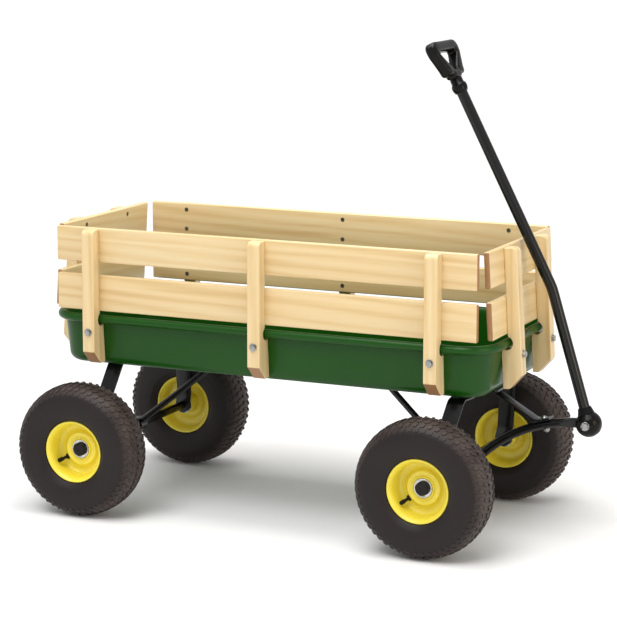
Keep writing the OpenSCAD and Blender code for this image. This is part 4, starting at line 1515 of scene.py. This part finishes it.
@dataclass(frozen=True)
class Tongue:
    """The curved tongue tube and the strap over it."""

    bend: float = 270.0
    top_back: float = 14.0
    tube_r: float = 8.0
    yoke: tuple[float, float] = (8.0, 18.0)
    eye: float = 11.0
    strap: tuple[float, float] = (26.0, 4.0)
    strap_bend: float = 8.0
    bolt_back: float = 82.0
    plate_bolt: float = 33.0
    plate_under: float = 265.9
    hardware: Hardware = field(default_factory=Hardware)

    def height(self, x: np.ndarray | float, pivot: np.ndarray) -> np.ndarray | float:
        """Height of the tube's middle at x: an arc that is level near the pivot."""
        d = np.maximum(pivot[0] - self.top_back - x, 0)
        return pivot[2] - self.bend + np.sqrt(self.bend**2 - d**2)

    def tube_shape(self, pivot: np.ndarray, front: float) -> Shape:
        """The tube, round along the arc and pressed flat into an eye at the pivot.

        Its section is |y / a|^n + |t / b|^n = 1, where a goes from the tube's
        radius to half the eye's thickness, b to half its height and n from 2
        to 5, by a smooth step along the last stretch.

        Args:
            pivot: The handle's pivot.
            front: The front axle's place.

        Returns:
            The closed tube.
        """
        end = pivot[0]
        x = np.concatenate([
            np.linspace(front + 9, end - 60, 26), np.linspace(end - 56, end - 26, 11),
            np.linspace(end - 22, end, 4), end + self.eye * np.sin(np.linspace(0.2, 1.5, 7))])
        line = np.stack([x, self.height(x, pivot)], 1)
        w = np.clip((x - (pivot[0] - 52)) / 24, 0, 1)
        w = w * w * (3 - 2 * w)
        a = self.tube_r + (self.yoke[0] / 2 - self.tube_r) * w
        b = self.tube_r + (self.yoke[1] / 2 - self.tube_r) * w
        past = np.clip((x - pivot[0]) / self.eye, 0, 0.999)
        b = b * np.sqrt(1 - past**2)
        n = 2 + 3 * w
        q = np.linspace(0, 2 * np.pi, 40, endpoint=False)[None, :]
        c, s = np.cos(q), np.sin(q)
        sections = np.stack([
            a[:, None] * np.sign(c) * np.abs(c) ** (2 / n[:, None]),
            b[:, None] * np.sign(s) * np.abs(s) ** (2 / n[:, None])], -1)
        path, across, up = flat_path(line)
        return carried(sections, path, across, up)

    def strap_point(self, pivot: np.ndarray, along: float, off: float) -> tuple[float, float]:
        """A point (x, z) at lengths along and off the tube at the strap's bolt.

        Args:
            pivot: The handle's pivot.
            along: The length along the tube.
            off: The length square to it, upwards.

        Returns:
            The point (x, z).
        """
        x = pivot[0] - self.bolt_back
        a = self.strap_angle()
        z = float(self.height(x, pivot))
        c, s = math.cos(a), math.sin(a)
        return x + along * c - off * s, z + along * s + off * c

    def strap_angle(self) -> float:
        """Slope of the tube under the strap's end, in radians."""
        return math.asin((self.bolt_back - self.top_back) / self.bend)

    def strap_shape(self, pivot: np.ndarray, front: float) -> Shape:
        """The flat strap from under the turntable down on to the tube.

        Args:
            pivot: The handle's pivot.
            front: The front axle's place.

        Returns:
            The closed strap.
        """
        x0, top = front + self.plate_bolt, self.plate_under
        back, ahead = (self.strap_point(pivot, along, self.tube_r + 2.2) for along in (-13.0, 14.0))
        corners = np.array([[x0 - 14, top], [x0 + 13, top], back, ahead])
        line = [corners[0]]
        for i in (1, 2):
            a, b, c = corners[i - 1], corners[i], corners[i + 1]
            t = np.linspace(0, 1, 7)[:, None]
            p = b + (a - b) / np.linalg.norm(a - b) * self.strap_bend
            q = b + (c - b) / np.linalg.norm(c - b) * self.strap_bend
            line.extend(list((1 - t) ** 2 * p + 2 * t * (1 - t) * b + t**2 * q))
        line.append(corners[3])
        full = np.array(line)
        path, across, up = flat_path(full)
        section = rounded(self.strap[0], self.strap[1], 1.2, 3)
        return carried(np.tile(section[None], (len(full), 1, 1)), path, across, up)

    def build(self, shop: Workshop) -> None:
        """Make the tongue's pieces.

        Args:
            shop: Where the pieces are made.
        """
        pivot = middle("pivot_bolt")
        pivot[1] = 0
        front = float(middle("king_pin_bolts")[0])
        shop.piece("tongue_tube_bent", self.tube_shape(pivot, front), shop.paint.black, "front_carriage",
                   ("tongue_tube",), crease=50)
        shop.piece("tongue_strap_bar", self.strap_shape(pivot, front), shop.paint.black, "front_carriage",
                   ("tongue_strap",), crease=40)
        foot = self.strap_point(pivot, 0.0, self.tube_r + 4.3)
        head = together([self.hardware.dome(6.0, 4.2), self.hardware.shank(3.0, -27.0, 0.5),
                         self.hardware.hex_head(9.8, 4.4, both=True).moved(0, 0, -25.0)])
        head = head.turned(Axis.Y, -math.degrees(self.strap_angle())).moved(foot[0], 0, foot[1])
        under = self.hardware.dome(6.4, 4.4).turned(Axis.X, 180)
        under = under.moved(front + self.plate_bolt, 0, self.plate_under - 2.1)
        shop.piece("tongue_bolt_heads", together([head, under]), shop.paint.zinc, "front_carriage",
                   ("tongue_bolt",))


@dataclass(frozen=True)
class Handle:
    """The bent handle tube with its collar, loop grip and ball shroud."""

    low_length: float = 255.0
    up_length: float = 478.0
    low_angle: float = 107.0
    up_angle: float = 117.2
    bend: float = 120.0
    tube_r: float = 10.0
    grip_w: float = 115.0
    grip_t: float = 22.0
    grip_ease: float = 7.0
    socket: float = 48.0
    fork: float = 18.0
    hardware: Hardware = field(default_factory=Hardware)

    def directions(self) -> tuple[np.ndarray, np.ndarray]:
        """Unit directions (x, z) of the handle's lower and upper parts."""
        a, b = math.radians(self.low_angle), math.radians(self.up_angle)
        return np.array([math.cos(a), math.sin(a)]), np.array([math.cos(b), math.sin(b)])

    def tube_shape(self, pivot: np.ndarray) -> Shape:
        """The tube: straight, a bend of constant radius, and straight again.

        Args:
            pivot: The handle's pivot.

        Returns:
            The closed tube.
        """
        low, up = self.directions()
        origin = np.array([pivot[0], pivot[2]])
        cut = self.bend * math.tan(math.radians(self.up_angle - self.low_angle) / 2)
        start = origin + low * (self.low_length - cut)
        side = np.array([-low[1], low[0]])
        centre = start + side * self.bend
        turn = arc(centre[0], centre[1], self.bend, self.low_angle - 90, self.up_angle - 90, 10)
        end = origin + low * self.low_length + up * (self.up_length - self.socket)
        s = np.linspace(self.fork, self.low_length - cut, 4)[:-1, None]
        line = np.vstack([origin + low * s, turn, np.linspace(turn[-1], end, 5)[1:]])
        path, across, upward = flat_path(line)
        circle = arc(0, 0, self.tube_r, 0, 360, 40)[:-1]
        return carried(np.tile(circle[None], (len(line), 1, 1)), path, across, upward)

    def at_grip(self, shape: Shape, pivot: np.ndarray) -> Shape:
        """A shape with Z along the upper part, put with its origin in the grip's bar.

        Args:
            shape: The shape, with Z along the upper part.
            pivot: The handle's pivot.

        Returns:
            The shape in its place.
        """
        low, up = self.directions()
        at = np.array([pivot[0], pivot[2]]) + low * self.low_length + up * self.up_length
        return shape.turned(Axis.Y, 90 - self.up_angle).moved(at[0], 0, at[1])

    def grip_outline(self) -> np.ndarray:
        """The grip's outside as (across, along).

        Returns:
            The outline's points.
        """
        w = self.grip_w / 2
        return np.vstack([
            arc(w - 14, -3, 14, 0, 90, 8), arc(14 - w, -3, 14, 90, 180, 8),
            [[-w + 1.5, -14], [-38, -46]], arc(-31, -51, 5, 180, 270, 4),
            [[-17, -56], [-14, -62], [14, -62], [17, -56]],
            arc(31, -51, 5, -90, 0, 4), [[38, -46], [w - 1.5, -14]],
        ])

    def window_outline(self) -> np.ndarray:
        """The finger hole's edge as (across, along).

        Returns:
            The outline's points.
        """
        w = self.grip_w / 2
        return np.vstack([
            arc(w - 25, -15, 6, 0, 90, 5), arc(25 - w, -15, 6, 90, 180, 5),
            arc(-8, -40, 5, 180, 270, 4), arc(8, -40, 5, -90, 0, 4),
        ])

    def grip_shape(self) -> Shape:
        """The grip: a rounded section that runs round between its two edges.

        The section at each step lies between the outside's point and the
        window's point; its corners are rounded by up to grip_ease.

        Returns:
            The closed loop, standing along Z.
        """
        out, inner = even_loop(self.grip_outline(), 144), even_loop(self.window_outline(), 144)
        mid, half = (out + inner) / 2, (out - inner) / 2
        width = np.linalg.norm(half, axis=1)
        r = np.minimum(self.grip_ease, width * 0.9)[:, None]
        t = np.radians(np.arange(0, 360, 15.0) + 7.5)[None, :]
        c, s = np.cos(t), np.sin(t)
        share = (np.sign(c) * (width[:, None] - r) + r * c) / width[:, None]
        thick = np.sign(s) * (self.grip_t / 2 - r) + r * s
        flat = mid[:, None, :] + half[:, None, :] * share[:, :, None]
        return grid(np.stack([thick, flat[:, :, 0], flat[:, :, 1]], -1), wrap_u=True, wrap_v=True)

    def build(self, shop: Workshop) -> None:
        """Make the handle's pieces.

        Args:
            shop: Where the pieces are made.
        """
        pivot = middle("pivot_bolt")
        pivot[1] = 0
        paint = shop.paint
        shop.piece("handle_tube_bent", self.tube_shape(pivot), paint.black, "handle",
                   ("handle_tube",), crease=50)
        grip = self.grip_shape()
        shop.piece("handle_grip_moulded", self.at_grip(grip, pivot), paint.plastic, "handle",
                   ("handle_grip",), crease=60)
        line = np.array([
            [10.1, -89], [11.4, -89], [12.2, -88.2], [13.4, -85.0], [14.3, -81.5], [14.5, -79], [14.3, -76.5],
            [13.6, -74], [12.2, -72.4], [11.6, -71.6], [11.4, -62.5], [11.0, -61.5], [10.1, -61.5]])
        shop.piece("handle_collar_moulded", self.at_grip(lathe(line, 48, closed=True), pivot), paint.plastic,
                   "handle", ("handle_collar",), crease=50)
        h = self.hardware
        bolt = together([
            h.washer(8.0, 4.0, 1.6).moved(0, 0, 22.1), h.hex_head(13.0, 5.2).moved(0, 0, 23.7),
            h.shank(4.0, -24.0, 24.0), h.hex_head(13.0, 6.5, both=True).moved(0, 0, -28.7),
        ]).turned(Axis.X, 90).moved(pivot[0], 0, pivot[2])
        shop.piece("pivot_bolt_turned", bolt, paint.zinc, "handle", ("pivot_bolt",))
        for node in ("ball_shroud_near", "ball_shroud_far"):
            shop.dress(node, paint.plastic)


# ------------------------------------------------------------------- stage


@dataclass(frozen=True)
class Studio:
    """A pale floor, soft lights and the camera, in metres."""

    eye: Triple = (1.75009, -3.94471, 1.17655)
    azimuth: float = 24.80
    drop: float = 9.95
    lens: float = 135.8
    shift: tuple[float, float] = (0.02353, -0.02506)
    ambient: float = 0.66
    reach: float = 60.0

    def floor(self) -> None:
        """A wide pale floor with a faintly uneven sheen."""
        mesh = bpy.data.meshes.new("floor")
        w = self.reach
        mesh.from_pydata([(-w, -w, 0), (w, -w, 0), (w, w, 0), (-w, w, 0)], [], [(0, 1, 2, 3)])
        obj = bpy.data.objects.new("floor", mesh)
        bpy.context.scene.collection.objects.link(obj)
        r = Recipe("pale_floor")
        slow = r.noise(r.place((0.8, 0.8, 0.8)))
        r.link(r.mix(slow, (0.86, 0.86, 0.86), (0.88, 0.88, 0.88)), r.shader.inputs["Base Color"])
        r.set(Roughness=0.75, Specular_IOR_Level=0.2)
        mesh.materials.append(r.material)

    def light(self, name: str, at: Triple, to: Triple, size: float, watts: float,
              tint: Colour) -> None:
        """A square soft light.

        Args:
            name: The light's name.
            at: Where it stands.
            to: The point that it faces.
            size: Its side.
            watts: Its power.
            tint: Its colour.
        """
        data = bpy.data.lights.new(name, "AREA")
        data.size, data.energy, data.color = size, watts, tint
        obj = bpy.data.objects.new(name, data)
        obj.location = at
        obj.rotation_mode = "QUATERNION"
        obj.rotation_quaternion = (Vector(to) - Vector(at)).to_track_quat("-Z", "Y")
        bpy.context.scene.collection.objects.link(obj)

    def sun(self, name: str, source: Triple, spread: float, strength: float) -> None:
        """An even light from far away.

        Args:
            name: The light's name.
            source: The direction that it comes from.
            spread: The angle that it fills, in degrees.
            strength: Its strength.
        """
        data = bpy.data.lights.new(name, "SUN")
        data.energy, data.angle = strength, math.radians(spread)
        obj = bpy.data.objects.new(name, data)
        obj.rotation_mode = "QUATERNION"
        obj.rotation_quaternion = (-Vector(source)).to_track_quat("-Z", "Y")
        bpy.context.scene.collection.objects.link(obj)

    def camera(self) -> None:
        """The camera, looking down by drop from the given azimuth."""
        data = bpy.data.cameras.new("camera")
        data.sensor_width, data.lens = 36.0, self.lens
        data.shift_x, data.shift_y = self.shift
        data.clip_end = 100.0
        obj = bpy.data.objects.new("camera", data)
        obj.location = self.eye
        a, e = math.radians(self.azimuth), math.radians(self.drop)
        look = Vector((-math.sin(a) * math.cos(e), math.cos(a) * math.cos(e), -math.sin(e)))
        obj.rotation_mode = "QUATERNION"
        obj.rotation_quaternion = look.to_track_quat("-Z", "Y")
        bpy.context.scene.collection.objects.link(obj)
        bpy.context.scene.camera = obj

    def build(self) -> None:
        """Set the whole stage."""
        self.camera()
        self.floor()
        world = bpy.data.worlds.new("studio")
        bpy.context.scene.world = world
        world.use_nodes = True
        tree = world.node_tree
        back = tree.nodes["Background"]
        back.inputs["Color"].default_value = (1.0, 1.0, 1.0, 1.0)
        path = tree.nodes.new("ShaderNodeLightPath")
        strength = tree.nodes.new("ShaderNodeMapRange")
        strength.inputs["To Min"].default_value = self.ambient
        strength.inputs["To Max"].default_value = 1.0
        tree.links.new(path.outputs["Is Camera Ray"], strength.inputs["Value"])
        tree.links.new(strength.outputs["Result"], back.inputs["Strength"])
        aim = (0.0, 0.0, 0.35)
        self.sun("key", (-0.12, -0.80, 1.1), 30.0, 0.80)
        self.sun("top", (0.0, -0.34, 1.0), 46.0, 1.35)
        self.light("inside", (-0.05, -0.02, 1.5), (-0.05, 0.18, 0.48), 0.7, 9.5, (1.0, 0.98, 0.94))
        self.light("front_fill", (3.4, -1.0, 1.2), aim, 1.6, 26.0, (1.0, 0.86, 0.60))
        scene = bpy.context.scene
        scene.view_settings.view_transform = "Standard"
        scene.view_settings.look = "None"


def main() -> None:
    """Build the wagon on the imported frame."""
    logging.basicConfig(level=logging.INFO, format="%(name)s: %(message)s")
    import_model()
    Studio().build()
    shop = Workshop(Paintbox())
    Tray().build(shop)
    StakeSides().build(shop)
    for name, side, angle in (("near_rear", Side.NEAR, 211.0), ("far_rear", Side.FAR, 140.0),
                              ("near_front", Side.NEAR, 218.0), ("far_front", Side.FAR, 60.0)):
        Wheel(name, "wheel_" + name, side, angle).build(shop)
    RunningGear().build(shop)
    Tongue().build(shop)
    Handle().build(shop)
    LOG.info("%d pieces made", len(shop.made))


if __name__ == "__main__":
    main()
